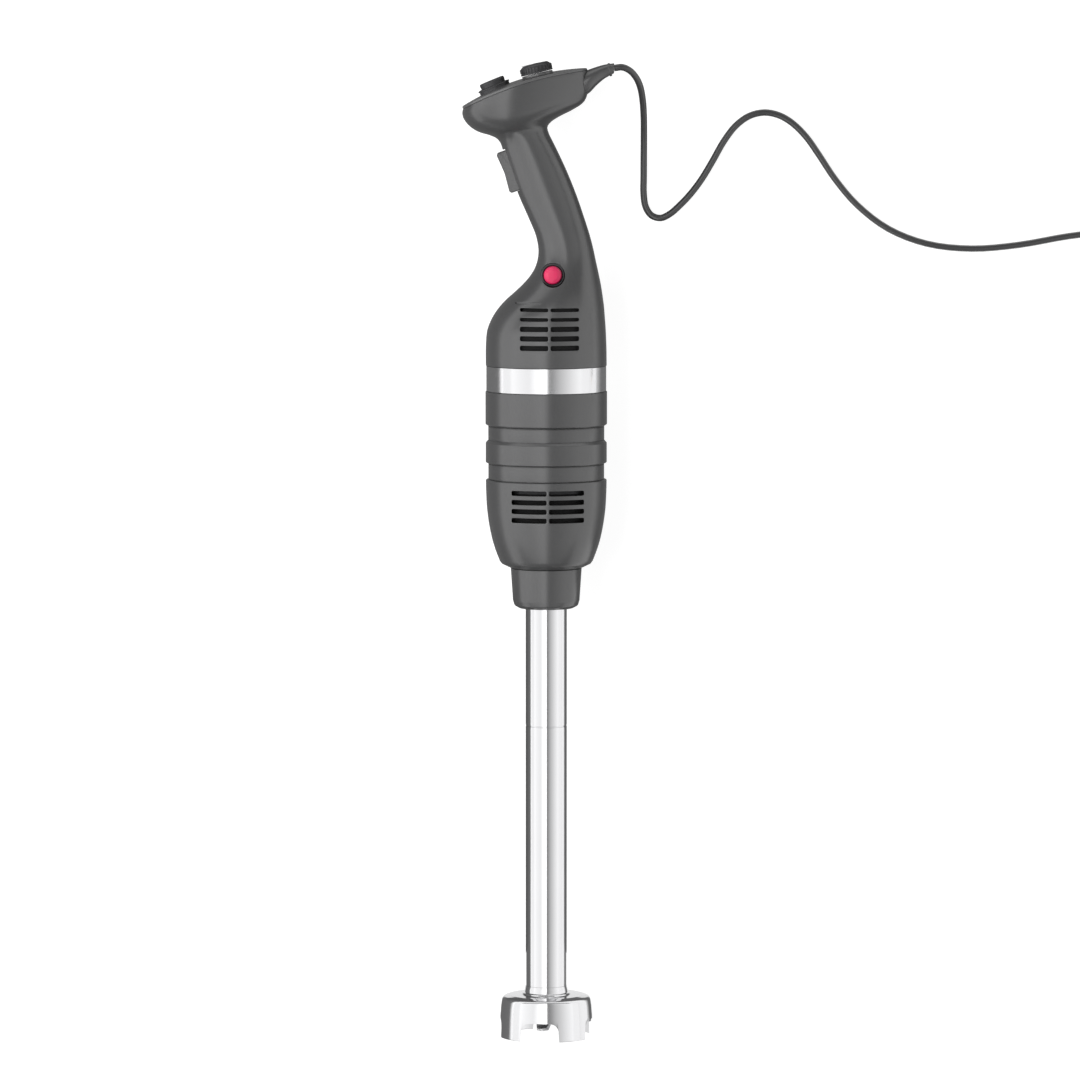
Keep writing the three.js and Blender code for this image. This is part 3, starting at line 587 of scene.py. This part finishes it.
def coil_point(turn):
    """A point of the coil, turn counting full turns clockwise from its far side.

    The cord winds inwards on the worktop, climbs at the middle and winds outwards on top of itself.
    """
    lap = min(int(turn), len(COIL["radii"]) - 1)
    onward = min(lap + 1, len(COIL["radii"]) - 1)
    change = min(max((turn - lap - CHANGE_FROM) / (1 - CHANGE_FROM), 0), 1)
    change = change * change * (3 - 2 * change)
    r = COIL["radii"][lap] + (COIL["radii"][onward] - COIL["radii"][lap]) * change
    lower = len(COIL["radii"]) // 2
    storeys = [CORD_R + COIL["layer"] * (number >= lower) for number in (lap, onward)]
    height = storeys[0] + (storeys[1] - storeys[0]) * change
    across = turn * FULL_TURN
    return COIL["x"] + r * math.sin(across), COIL["y"] + r * math.cos(across), height


def mains_cord():
    steps = 36
    turns = [coil_point(k / steps) for k in range(round(COIL["turns"] * steps) + 1)]
    route = through([*LEAD, *turns, *TAIL], 4)
    curve = bpy.data.curves.new("mains_cord", "CURVE")
    curve.dimensions = "3D"
    curve.bevel_depth = CORD_R * MM
    curve.bevel_resolution = 4
    curve.use_fill_caps = True
    line = curve.splines.new("POLY")
    line.points.add(len(route) - 1)
    for spot, p in zip(line.points, route):
        spot.co = (*(WORKTOP @ p), 1)
    curve.materials.append(cord_sheath)
    cord = bpy.data.objects.new("mains_cord", curve)
    bpy.context.scene.collection.objects.link(cord)
    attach(cord, BODY)
    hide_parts("cord_lead", "cord_coil", "cord_tail")
    return cord


def plug_pieces():
    """A two-pin plug with grip ribs, its pins towards -X and its cord from the origin."""
    half, long, thick = 17.5, 36, 13.6
    top = rounded([(0.01, 4), (-7, 5, 4), (-13, half - 1, 6), (-20, half, 6), (-long, half - 4, 3)])
    rings = []
    levels = [(-thick / 2, 2.2), (1 - thick / 2, 0.6), (2.4 - thick / 2, 0)]
    for z, inset in levels + [(-z, inset) for z, inset in reversed(levels)]:
        upper = [(x + (inset if x < -long / 2 else 0), max(y - inset, 1.5), z) for x, y in top]
        rings.append(upper + [(x, -y, z) for x, y, z in reversed(upper)])
    body = skinned("plug_moulding", rings, PLUG)
    ribs = grown(
        "plug_ribs",
        ROW_OF_BARS,
        {"Count": 5, "Pitch": 2.6, "Length": 14.0, "Height": 1.2, "Depth": thick + 0.6, "Corner": 0.5},
        PLUG @ at(-28, 0, -thick / 2 - 0.3) @ spin("Z", 90) @ at(0, -5.2, 0),
    )
    joined(body, ribs)
    pins = []
    for label, y in (("a", -9.5), ("b", 9.5)):
        pin = PLUG @ at(-long - 0.3, y, 0) @ spin("Y", -90)
        tip = turned("plug_contact_" + label, rounded([(0, 0), (2, 0), (2, 19, 1.2), (0, 19)]), 32, pin)
        pins.append(finished(tip, plug_brass, "bronze", BODY, "plug_pin_" + label))
    return [finished(body, black_moulding, "black_plastic", BODY, "plug_body"), *pins]


cord = mains_cord()
plug_pieces()

# -------------------- handle and head shells
# Closed sections square to the XZ plane: left end, right end, half width across, how much wider the left
# end is, and how far the middle stands above the line between the ends.
# The sections of body and grip are level, given as height, left end, right end and half width.
LEVEL = [
    (540.8, -48.3, 48.3, 48.3), (555, -48.3, 48.1, 48.3), (567.7, -47.4, 47.6, 47.4),
    (574.1, -45.4, 47.2, 46.4), (580.6, -42.2, 46.7, 45), (587, -37.8, 46.2, 43),
    (593.4, -32, 45.4, 40.4), (599.8, -24.8, 44.5, 37.2), (606.3, -18, 43.4, 33.6),
    (612.7, -12.6, 42.1, 30), (619.1, -8.9, 40.7, 27), (626, -6.8, 39.2, 24.4),
    (634, -6.3, 37.5, 22.4), (644.8, -8.4, 34.7, 20.8), (657.7, -13.7, 30.6, 19.4),
    (676.9, -22.1, 24, 18.6), (696.2, -29, 16.2, 18.5), (712.5, -34.6, 8.6, 18.7),
]
HEAD = [
    ((-36.4, 717.8), (5.2, 719.4), 19, 0, 0),
    ((-39.4, 721.6), (2, 726), 19.6, 0, 0),
    ((-45.4, 724.4), (1, 731), 20.8, 0.03, 0),
    ((-51.8, 726.2), (4.2, 735.2), 23.6, 0.06, 0),
    ((-57.8, 729), (11.2, 739.6), 27, 0.1, 0.6),
    ((-63, 733.4), (21.4, 744.8), 30.2, 0.18, 1.8),
    ((-66.2, 738.4), (30.4, 751.4), 32, 0.25, 3),
    ((-66.9, 742.4), (33.6, 762), 33, 0.29, 4.4),
    ((-66.4, 745), (33, 775.6), 33, 0.3, 5.2),
]
SECTIONS = [((left, z), (right, z), width, 0, 0) for z, left, right, width in LEVEL] + HEAD
HEAD_LIFT = 2.0  # how far the head's hollow is shifted up, which leaves the head open at the top
SHELL_SIDES = 112


def section_loop(section, inset=0.0, lift=0.0):
    """The points of one section, pulled in by inset and lifted square to it."""
    left, right, width, egg, camber = section
    left, right = Vector((left[0], 0, left[1])), Vector((right[0], 0, right[1]))
    middle, reach = (left + right) / 2, (right - left) / 2
    up = Vector((-reach.z, 0, reach.x)).normalized()
    loop = []
    for i in range(SHELL_SIDES):
        turn = FULL_TURN * i / SHELL_SIDES
        u = math.cos(turn)
        across = (width - inset) * math.sin(turn) * (1 - egg * u)
        along = u * (1 - inset / reach.length)
        rise = lift + camber * (1 - u * u)
        loop.append(middle + reach * along + up * rise + Vector((0, -across, 0)))
    return loop


def shell_rings(inset):
    loops = [
        section_loop(section, inset, HEAD_LIFT if inset and k >= len(LEVEL) else 0.0)
        for k, section in enumerate(SECTIONS)
    ]
    columns = [through([loop[i] for loop in loops], 4) for i in range(SHELL_SIDES)]
    return [list(ring) for ring in zip(*columns)]


def half_shell(name, side):
    """One of the two shells, side being -1 for the near one and 1 for the far one."""
    half = SHELL_SIDES // 2
    chosen = range(half + 1) if side < 0 else range(half, SHELL_SIDES + 1)

    def kept(ring):
        return [
            Vector((p.x, side * max(side * p.y, SEAM), p.z))
            for p in (ring[i % SHELL_SIDES] for i in chosen)
        ]

    return walled(name, [kept(r) for r in outer_rings], [kept(r) for r in inner_rings])


# The cord boot: x, height of the middle, half height and half width.
BOOT = [
    (26.5, 763.8, 9.8, 9), (34, 767.2, 9.4, 9), (40, 771.3, 7.4, 7.6), (46, 774.7, 5.7, 5.8),
    (54, 777.6, 4, 4.3),
]
UPPER_VENTS = {"pitch": 7.5, "middle": 2.5, "half_width": 23.4}
LOWER_VENTS = {"pitch": 7.25, "middle": 1.2, "half_width": 28.8}
VENT_RIB = 1.9
VENT_REACH = 48.0
VENT_START = {-1: -14, 1: 62}  # the cutting bars run from here towards -Y, on the near and far side


def boot_rings(grow, steps=5):
    """Sections of the cord boot, made larger by grow."""
    turns = [FULL_TURN * i / 48 for i in range(48)]
    return [
        [(x, (wide + grow) * math.cos(t), z + (high + grow) * math.sin(t)) for t in turns]
        for x, z, high, wide in through(BOOT, steps)
    ]


def vent_tools(count, foot, side, pitch, middle, half_width, high=4.1):
    """Bars that cut one side's air slots, in two columns with a rib between them."""
    length = half_width - VENT_RIB / 2
    size = {"Count": count, "Pitch": pitch, "Length": length, "Height": high, "Depth": VENT_REACH}
    near = spin("X", 90)
    tools = []
    for column in (-1, 1):
        start = at(middle + column * (VENT_RIB + length) / 2, VENT_START[side], foot)
        tools.append(grown("vent_bars", ROW_OF_BARS, {**size, "Corner": 1.2}, TOOL @ start @ near))
    return tools


def recess_line():
    """A thin groove above the upper air slots, which follows the shell's surface."""
    section = ((-33.2, 592), (45.6, 592), 40.9, 0, 0)
    loop = section_loop(section)
    first, last = 33, 45
    middle = Vector((6.2, 0, 592))
    grids = []
    for scale in (1.03, 0.97):
        row = [middle + (p - middle) * scale for p in loop[first:last]]
        grids.append([[p + Vector((0, 0, dz)) for p in row] for dz in (-0.5, 0.5)])
    return walled("recess_line", *grids)


outer_rings = shell_rings(0)
inner_rings = shell_rings(WALL)

near_shell = half_shell("handle_shell_button_side", -1)
far_shell = half_shell("handle_shell_screw_side", 1)
for shell, side in ((near_shell, -1), (far_shell, 1)):
    slot_outline = rounded([(-20, -7.9, 0.5), (9, -7.9, 0.5), (9, 7.9, 0.5), (-20, 7.9, 0.5)])
    trigger_slot = prism("trigger_slot", slot_outline, -17.3, 17.9, TRIGGER)
    boot_hole = skinned("boot_hole", boot_rings(0.25))
    tools = [trigger_slot, boot_hole]
    tools += vent_tools(3, 556.9, side, **UPPER_VENTS)
    tools += vent_tools(2, 579.4, side, **UPPER_VENTS, high=2.9)
    if side < 0:
        tools.append(turned("lock_hole", [(0, -16), (9.7, -16), (9.7, 20), (0, 20)], 64, LOCK))
        tools.append(recess_line())
    else:
        for x, z in SCREWS:
            seat = TOOL @ at(x, 0, z) @ spin("X", -90)
            tools.append(turned("screw_seat", [(0, 8), (3.6, 8), (3.6, 60), (0, 60)], 32, seat))
    cut(shell, *tools)
    ease(shell, 0.3, angle=50)


def slot_shade_sheet(side):
    """A near-black sheet inside a shell behind the air slots: painted shade seen through them."""
    middle = SHELL_SIDES // 4 if side < 0 else SHELL_SIDES * 3 // 4
    grids = []
    for inset in (WALL + 0.3, WALL + 0.9):
        rows = shell_rings(inset)[3:24]
        grids.append([row[middle - 11 : middle + 12] for row in rows])
    return walled("slot_shade_sheet", *grids)


shade_sheets = joined(slot_shade_sheet(-1), slot_shade_sheet(1))
finished(shade_sheets, slot_shade_black, "black_plastic", BODY)
finished(near_shell, charcoal_moulding, "charcoal_plastic", BODY, "handle_shell_near")
finished(far_shell, charcoal_moulding, "charcoal_plastic", BODY, "handle_shell_far")


heads = grown(
    "shell_screws",
    CROSS_SCREWS,
    {"Head Radius": 2.9, "Head Height": 2.2, "Recess Width": 0.9},
    TOOL @ spin("X", -90),
    [(x, -z, 8.4) for x, z in SCREWS],
)
finished(heads, plain_steel, "plain_steel", BODY, *[f"shell_screw_{i + 1}" for i in range(len(SCREWS))])

# -------------------- deck, dial, buttons, trigger


def deck_plate():
    """The domed plate that closes the head, with its rim rolled over."""
    rim = section_loop((*SECTIONS[-1][:4], 0))
    middle = Vector((DECK["x"], 0, DECK["z"]))
    tilt = math.radians(DECK["tilt"])
    up = Vector((-math.sin(tilt), 0, math.cos(tilt)))
    span, low, high = 40, 0.3, 0.3 + DECK["thick"]
    edge = rounded([(0, low), (span, low, 0.5), (span, high, 1.1), (0, high)])
    inward = [span * k / 14 for k in range(1, 14)]
    profile = [(r, low) for r in inward] + edge[1:-1] + [(r, high) for r in reversed(inward)]
    rings = []
    for r, lift in profile:
        scale = r / span
        ring = []
        for i, p in enumerate(rim):
            u = scale * math.cos(FULL_TURN * i / SHELL_SIDES)
            rise = lift + DECK["camber"] * (1 - u * u) + DECK["crown"] * (1 - scale * scale)
            ring.append(middle.lerp(p, scale) + up * rise)
        rings.append(ring)
    plate = skinned("head_deck", rings)
    holes = [
        turned("button_hole", [(0, -15), (10.9, -15), (10.9, 15), (0, 15)], 64, BUTTON),
        turned("spindle_hole", [(0, -15), (4, -15), (4, 15), (0, 15)], 40, DIAL),
        skinned("boot_hole", boot_rings(0.25)),
    ]
    cut(plate, *holes)
    seat = turned("dial_seat", rounded([(4, -3), (12.6, -3), (12.4, 0.2, 0.3), (4, 0.2)]), 96, DIAL)
    return joined(plate, seat)


finished(deck_plate(), deck_moulding, "deck_plastic", BODY, "top_deck")

KNOB = [(0, 0.7), (12.9, 0.7, 0.3), (12.9, 2, 0.4), (12.4, 2.3), (12.3, 6, 2), (10, 8.1, 3), (0, 8.6)]
KNOB_RIBS = 30
dial_body = turned("dial_knob", rounded(KNOB), 128, DIAL)
dial_grip = grown(
    "dial_grip",
    RING_OF_BARS,
    {
        "Count": KNOB_RIBS,
        "Radius": 12.2,
        "Step": FULL_TURN / KNOB_RIBS,
        "Length": 1.6,
        "Width": 1.1,
        "Height": 3.6,
    },
    DIAL @ at(0, 0, 4.2),
)
ease(dial_grip, 0.35)
finished(joined(dial_body, dial_grip), black_moulding, "black_plastic", "speed_dial", "speed_dial")
pointer_outline = rounded([(-11, -0.5, 0.4), (-4.2, -0.5, 0.4), (-4.2, 0.5, 0.4), (-11, 0.5, 0.4)])
pointer = prism("dial_pointer_line", pointer_outline, 8.0, 8.75, DIAL)
finished(pointer, scale_print, "black_plastic", "speed_dial")

BEZEL = [(10.7, -2.6), (12.6, -2.6), (12.6, 0.9), (13.2, 0.9, 0.2), (13.2, 2.0, 0.6), (11.2, 2.4, 0.3)]
BEZEL += [(10.7, 2.0, 0.2)]
PUSH_BUTTON = [(0, -4), (2.2, -4), (2.2, -0.6), (10.1, -0.6), (10.1, 3.4), (10.4, 5.2, 0.8)]
PUSH_BUTTON += [(10, 6.6, 0.9), (8, 6.8, 1), (0, 6.3)]
LOCK_RING = [(7.5, -7), (9.5, -7), (9.5, -1.2, 0.5), (8.6, -0.6, 0.5), (7.5, -1.4, 0.4)]
LOCK_CAP = [(0, -8.6), (2, -8.6), (2, -5), (7.2, -5), (7.2, 0.2, 0.5), (6.4, 1.4, 1.2), (3.8, 2.2, 3)]
LOCK_CAP += [(0, 2.4)]
for name, outline, place, material, slot, body, node in (
    ("push_button_bezel", BEZEL, BUTTON, black_moulding, "black_plastic", BODY, "button_bezel"),
    ("push_button", PUSH_BUTTON, BUTTON, black_moulding, "black_plastic", "boost_button", "boost_button"),
    ("lock_button_ring", LOCK_RING, LOCK, black_moulding, "black_plastic", BODY, "lock_bezel"),
    ("lock_button_cap", LOCK_CAP, LOCK, red_cap_plastic, "red_plastic", "lock_button", "lock_button"),
):
    finished(turned(name, rounded(outline), 96, place), material, slot, body, node)


def trigger_paddle():
    """The trigger: a hollowed paddle with a hooked top end, in the trigger's frame."""
    inner = [(5, 12.8), (5, -9), (8.4, -11), (8.4, -15.8), (6.5, -16.8)]
    outer = [(-5, -16.8, 1.6), (-6.2, -15, 2), (-4.9, 0, 30), (-6.2, 15, 2), (-5, 16.8, 1.6), (2, 16.8)]
    side = rounded(inner + outer)
    rings = []
    for y, inset in ((-7.5, 1.3), (-7.1, 0.5), (-6.1, 0), (6.1, 0), (7.1, 0.5), (7.5, 1.3)):
        rings.append([(x + (inset if x < 0 else 0), y, z * (1 - inset / 30)) for x, z in side])
    paddle = skinned("trigger_paddle", rings, TRIGGER)
    bore = at(5, 0, -14) @ spin("X", 90)
    cut(paddle, turned("pin_bore", [(0, -20), (1.8, -20), (1.8, 20), (0, 20)], 32, TRIGGER @ bore))
    return paddle


finished(trigger_paddle(), trigger_moulding, "black_plastic", "trigger", "trigger")

# -------------------- cord boot


def cord_boot():
    boot = skinned("cord_boot_sleeve", boot_rings(0, 8))
    bore = at(54, 0, 777.5) @ spin("Y", 90)
    cut(boot, turned("cord_bore", [(0, -3), (2.75, -3), (2.75, 3), (0, 3)], 40, TOOL @ bore))
    ease(boot, 0.5, segments=3)
    lip = at(50.6, 0, 776.4) @ Matrix.Rotation(math.pi / 2 - 0.2, 4, "Y")
    ring = turned("boot_ring", rounded([(3, -1), (5.4, -1, 0.6), (5.2, 1, 0.8), (3, 1)]), 64, TOOL @ lip)
    return joined(boot, ring)


finished(cord_boot(), boot_rubber, "cord_sheath", BODY, "cord_boot")

# -------------------- motor housing, band, collar, tube
foot_curve = through(
    [(37.2, 384.2), (39.9, 391), (43, 400.7), (45.7, 413.5), (47.4, 426.4), (48.1, 439.2), (48.3, 446.5)], 5
)


def crease(r, z):
    """A fine slit in a groove's corner."""
    return (r, z - 0.3), (r - 0.9, z - 0.2), (r - 0.9, z + 0.2), (r, z + 0.3)


housing_outside = [(24.4, HOUSING_FOOT), (28.4, HOUSING_FOOT, 0.6), (35.6, 382, 1.6)]
housing_outside += [tuple(p) for p in foot_curve]
housing_outside += [
    (48.3, 449.4, 0.9), *crease(46.3, 450.3), *crease(46.3, 462.1), (48.4, 463.4, 0.9),
    (48.4, 479, 0.9), *crease(46.4, 481.6), *crease(46.4, 492.2), (48.6, 494, 0.9),
    (48.6, BAND_FOOT - 0.3, 0.5), (46.4, BAND_FOOT - 0.3), (46.4, SHELL_FOOT - 0.6),
]
housing_inside = [(44, SHELL_FOOT - 0.6), (44, 440), (41.8, 414), (36, 393), (14, 384), (14, HOUSING_FOOT)]
# A near-black sheet inside the housing behind the lower air slots: painted shade.
housing_shade_sheet = turned("housing_slot_shade_sheet", [(39.6, 414.5), (40.2, 414.5), (42, 447), (41.4, 447)], 96)
finished(housing_shade_sheet, slot_shade_black, "black_plastic", BODY)
motor_housing = turned("motor_housing_shell", rounded([*housing_outside, *housing_inside], 4), 176)
cut(motor_housing, *(tool for side in (-1, 1) for tool in vent_tools(4, 419.6, side, **LOWER_VENTS)))
ease(motor_housing, 0.25, angle=55)
finished(motor_housing, charcoal_moulding, "charcoal_plastic", BODY, "motor_housing")

band_profile = rounded(
    [(46.6, BAND_FOOT), (47.9, BAND_FOOT, 0.4), (47.9, SHELL_FOOT - 0.3, 0.4), (46.6, SHELL_FOOT - 0.3)]
)
finished(turned("housing_band", band_profile, 192), brushed_band, "polished_stainless", BODY, "steel_band")

collar_profile = rounded(
    [
        (TUBE_R + 0.15, COLLAR_FOOT), (21.6, COLLAR_FOOT, 1.5), (25.4, 348.4, 2.4), (26.7, 352.6, 3),
        (28.4, HOUSING_FOOT - 0.3, 0.4), (12, HOUSING_FOOT - 0.3), (12, 371.6), (TUBE_R + 0.15, 371.6),
    ]
)
sleeve = turned("collar_sleeve", collar_profile, 144)
finished(sleeve, charcoal_moulding, "charcoal_plastic", BODY, "shaft_collar")

TUBE_BORE = TUBE_R - 1.2
TUBE_HEAD = 371.3
tube_profile = [(TUBE_BORE, TUBE_FOOT), (TUBE_R, TUBE_FOOT)]
tube_profile += [(TUBE_R, 251.0), (TUBE_R - 0.4, 251.2), (TUBE_R - 0.4, 251.9), (TUBE_R, 252.1)]  # the joint
tube_profile += [(TUBE_R, TUBE_HEAD), (TUBE_BORE, TUBE_HEAD)]
tube = turned("shaft_tube_polished", tube_profile, 144)
finished(tube, polished_tube, "polished_stainless", BODY, "shaft_tube")


# -------------------- blade guard and blade
GUARD_R = 37.8
GUARD_ARCH = {"count": 4, "high": 15, "half": 24, "turn": -9}


def guard_bell():
    """The pressed guard: a cup with a flat crown, a rolled rim and four arched windows."""
    outside = [
        (36.2, 0, 0.5), (GUARD_R, 0, 0.7), (37, 17), (36.4, 25, 8), (35.3, 32.4, 4.5), (29, 34, 5),
        (20, 34.2, 1), (19, 35.6, 0.9), (17.6, 35.7, 0.9), (17.1, 39, 2), (16.8, 41.2),
    ]
    inside = [(12, 41.2), (12, 32.2), (28, 32, 4), (33.2, 29.6, 4), (34.8, 23, 6), (35.6, 12)]
    bell = turned("guard_bell", rounded([*outside, *inside], 6), 176)
    half = GUARD_R * math.sin(math.radians(GUARD_ARCH["half"]))
    high = GUARD_ARCH["high"]
    arch = rounded([(-half - 0.8, -3), (half + 0.8, -3), (half - 0.4, high, 8), (0.4 - half, high, 8)], 10)
    tools = []
    facing = spin("X", 90)
    for i in range(GUARD_ARCH["count"]):
        turn = spin("Z", GUARD_ARCH["turn"] + i * 90)
        tools.append(prism("arch_tool", arch, 14, 50, TOOL @ turn @ facing))
    cut(bell, *tools)
    ease(bell, 0.28, angle=50, segments=3)
    return bell


finished(guard_bell(), polished_guard, "polished_stainless", BODY, "blade_guard")


def blade_wing(bend):
    """One wing of the blade with a ground edge, bent up or down where it leaves the hub."""
    root, ground = 6, 1.6
    outline = rounded([(4.8, -6.5), (9, -6.5), (27, -3, 2), (28.6, 1.6, 3), (26, 6.5, 1), (4.8, 6.5)])
    thin = [(x, y - (ground * min(max((x - 8) / 4, 0), 1) if y > 0 else 0)) for x, y in outline]
    levels = ((outline, 0), (outline, 0.7), (thin, 2))
    rings = [[(x - root, y, z) for x, y in loop] for loop, z in levels]
    return rings, at(root, 0, 14) @ spin("Y", bend)


def blade_cutter():
    aim = TOOL @ spin("Z", -100)
    parts = [turned("blade_boss", rounded([(0, 14), (8.4, 14, 0.3), (8.4, 16, 0.3), (0, 16)]), 64, aim)]
    for turn, bend in ((0, 16), (180, -16)):
        rings, place = blade_wing(bend)
        around = spin("Z", turn)
        parts.append(skinned("blade_wing", rings, aim @ around @ place))
    return joined(*parts)


finished(blade_cutter(), blade_steel, "polished_stainless", "rotor", "blade", crease=20)

NUT_R = 5.6
corner_turns = [FULL_TURN * i / 6 for i in range(6)]
hexagon = [(NUT_R * math.cos(turn), NUT_R * math.sin(turn)) for turn in corner_turns]
nut = skinned(
    "blade_cap_nut",
    [[(x * s, y * s, z) for x, y in hexagon] for s, z in ((0.8, 9.6), (1, 10.5), (1, 13), (0.94, 13.4))],
)
ease(nut, 0.4)
finished(nut, plain_steel, "plain_steel", "rotor", "blade_nut", crease=25)
hub_outline = rounded([(0, 17), (8, 17, 0.8), (8, 22, 0.8), (6.4, 24.3, 0.6), (0, 24.3)])
finished(turned("blade_hub_sleeve", hub_outline, 64), plain_steel, "plain_steel", "rotor", "blade_hub")

# -------------------- what stays as the CAD has it
slots = {part["node"]: part["material_slot"] for part in frame["record"]["subparts"]}
for node, shown in frame["nodes"].items():
    shown.data.materials.clear()
    shown.data.materials.append(HIDDEN_FINISH[slots[node]])


# -------------------- worktop, panels and light
def glow(name, colour, strength):
    """A matt surface that gives off light of its own."""
    made = bpy.data.materials.new(name)
    made.use_nodes = True
    surface = made.node_tree.nodes["Principled BSDF"]
    surface.inputs["Base Color"].default_value = (*colour, 1)
    surface.inputs["Roughness"].default_value = 0.9
    surface.inputs["Specular IOR Level"].default_value = 0.0
    surface.inputs["Emission Color"].default_value = (1, 1, 1, 1)
    surface.inputs["Emission Strength"].default_value = strength
    return made


def graded(name, height, stops):
    """A glow that changes with the angle in degrees from straight above the drive axis, right positive."""
    made = glow(name, (0, 0, 0), 1)
    tree = made.node_tree
    where = add_node(tree, "ShaderNodeTexCoord").outputs["Object"]
    across = add_node(tree, "ShaderNodeSeparateXYZ", {0: where}).outputs["X"]
    angle = math_node(tree, "ARCTAN2", across, height)
    share = math_node(tree, "MULTIPLY_ADD", angle, 1 / math.pi, 0.5)
    ramp = add_node(tree, "ShaderNodeValToRGB", {"Fac": share})
    colours = ramp.color_ramp.elements
    for degrees, value in stops:
        stop = colours.new(degrees / 180 + 0.5)
        stop.color = (value, value, value, 1)
    colours.remove(colours[0])
    colours.remove(colours[len(colours) - 1])
    tree.links.new(ramp.outputs["Color"], tree.nodes["Principled BSDF"].inputs["Emission Strength"])
    return made


def reflector(name, corners, place, material):
    """A flat board that only reflections see."""
    mesh = bpy.data.meshes.new(name)
    mesh.from_pydata(corners, [], [tuple(range(len(corners)))])
    board = bpy.data.objects.new(name, mesh)
    board.location = place
    bpy.context.scene.collection.objects.link(board)
    board.data.materials.append(material)
    board.visible_camera = False
    board.visible_diffuse = False
    board.visible_shadow = False
    board.visible_transmission = False


def lying(low, high):
    return [(low[0], low[1], 0), (high[0], low[1], 0), (high[0], high[1], 0), (low[0], high[1], 0)]


floor_mesh = bpy.data.meshes.new("worktop")
floor_mesh.from_pydata(lying((-9, -9), (9, 9)), [], [(0, 1, 2, 3)])
worktop = bpy.data.objects.new("worktop", floor_mesh)
bpy.context.scene.collection.objects.link(worktop)
worktop.location.z = -0.0006
worktop.visible_diffuse = False
floor_mesh.materials.append(glow("white_worktop", (0.3, 0.3, 0.3), 0.9))

# Cards on the worktop, which give the edges of the round pieces their dark lines.
over_axis = Vector((RIM.x, RIM.y, 0.0004))
CARD_LEFT = -0.5
card_end = math.degrees(math.atan2(CARD_LEFT, RIM.z))
guard_stops = [(card_end, 0.9), (-80, 0.2), (-48, 0.16), (-42, 0.9), (42, 0.9), (48, 0.16), (60, 0.16)]
guard_stops += [(68, 0.9)]
shaft_stops = [(-84, 0.8), (-81, 0.2), (-50, 0.12), (0, 0.14), (62, 0.16), (68, 0.8)]
body_stops = [(-84, 0.5), (-81, 0.2), (0, 0.16), (69, 0.2), (76, 0.65)]
for beside, low, right, high, stops in (
    ("guard", -0.25, 0.12, 0.06, guard_stops),
    ("shaft", 0.06, 0.12, 0.35, shaft_stops),
    ("body", 0.35, 0.22, 0.95, body_stops),
):
    card = graded(beside + "_card", RIM.z, stops)
    reflector("card_beside_" + beside, lying((CARD_LEFT, low), (right, high)), over_axis, card)

BOARD_HEIGHT = 0.9
sky = [(-90, 1.2), (-70, 1.4), (-52, 1.25), (-32, 1.15), (-14, 1.55), (-5, 2.1), (1, 2.1)]
sky += [(3, 0.25), (12, 0.4), (24, 0.66), (50, 1.05), (70, 1.3), (90, 1.15)]
overhead = graded("overhead_grading", BOARD_HEIGHT - RIM.z, sky)
reflector("overhead_board", lying((-6, -1.2), (6, 0.9)), Vector((RIM.x, 0, BOARD_HEIGHT)), overhead)
ROOM_HALF = 2.5
wall_glow = glow("wall_glow", (0, 0, 0), 1.2)
side_wall = [(0, y, z) for y, z in ((-3, 0), (3, 0), (3, BOARD_HEIGHT), (-3, BOARD_HEIGHT))]
for label, side in (("left", -1), ("right", 1)):
    reflector("wall_" + label, side_wall, Vector((side * ROOM_HALF, 0, 0)), wall_glow)
end_wall = [(x * ROOM_HALF, 0, z) for x, z in ((-1, 0), (1, 0), (1, BOARD_HEIGHT), (-1, BOARD_HEIGHT))]
reflector("wall_behind_head", end_wall, Vector((0, ROOM_HALF, 0)), wall_glow)

world = bpy.data.worlds.new("white surroundings")
world.use_nodes = True
world.node_tree.nodes["Background"].inputs["Color"].default_value = (1, 1, 1, 1)
world.node_tree.nodes["Background"].inputs["Strength"].default_value = 0.3
bpy.context.scene.world = world


def softbox(name, place, aim, size, watts):
    light = bpy.data.lights.new(name, "AREA")
    light.shape = "RECTANGLE"
    light.size, light.size_y = size
    light.energy = watts
    made = bpy.data.objects.new(name, light)
    made.location = place
    made.rotation_euler = (Vector(aim) - Vector(place)).to_track_quat("-Z", "Y").to_euler()
    made.visible_camera = False
    made.visible_glossy = False
    bpy.context.scene.collection.objects.link(made)


softbox("key", (-1.6, 0.3, 1.7), (0, 0.1, 0), (1.4, 2.6), 77)
softbox("fill", (1.6, 0.0, 1.4), (0, 0, 0), (1.0, 2.4), 3)

bpy.context.scene.view_settings.view_transform = "Standard"
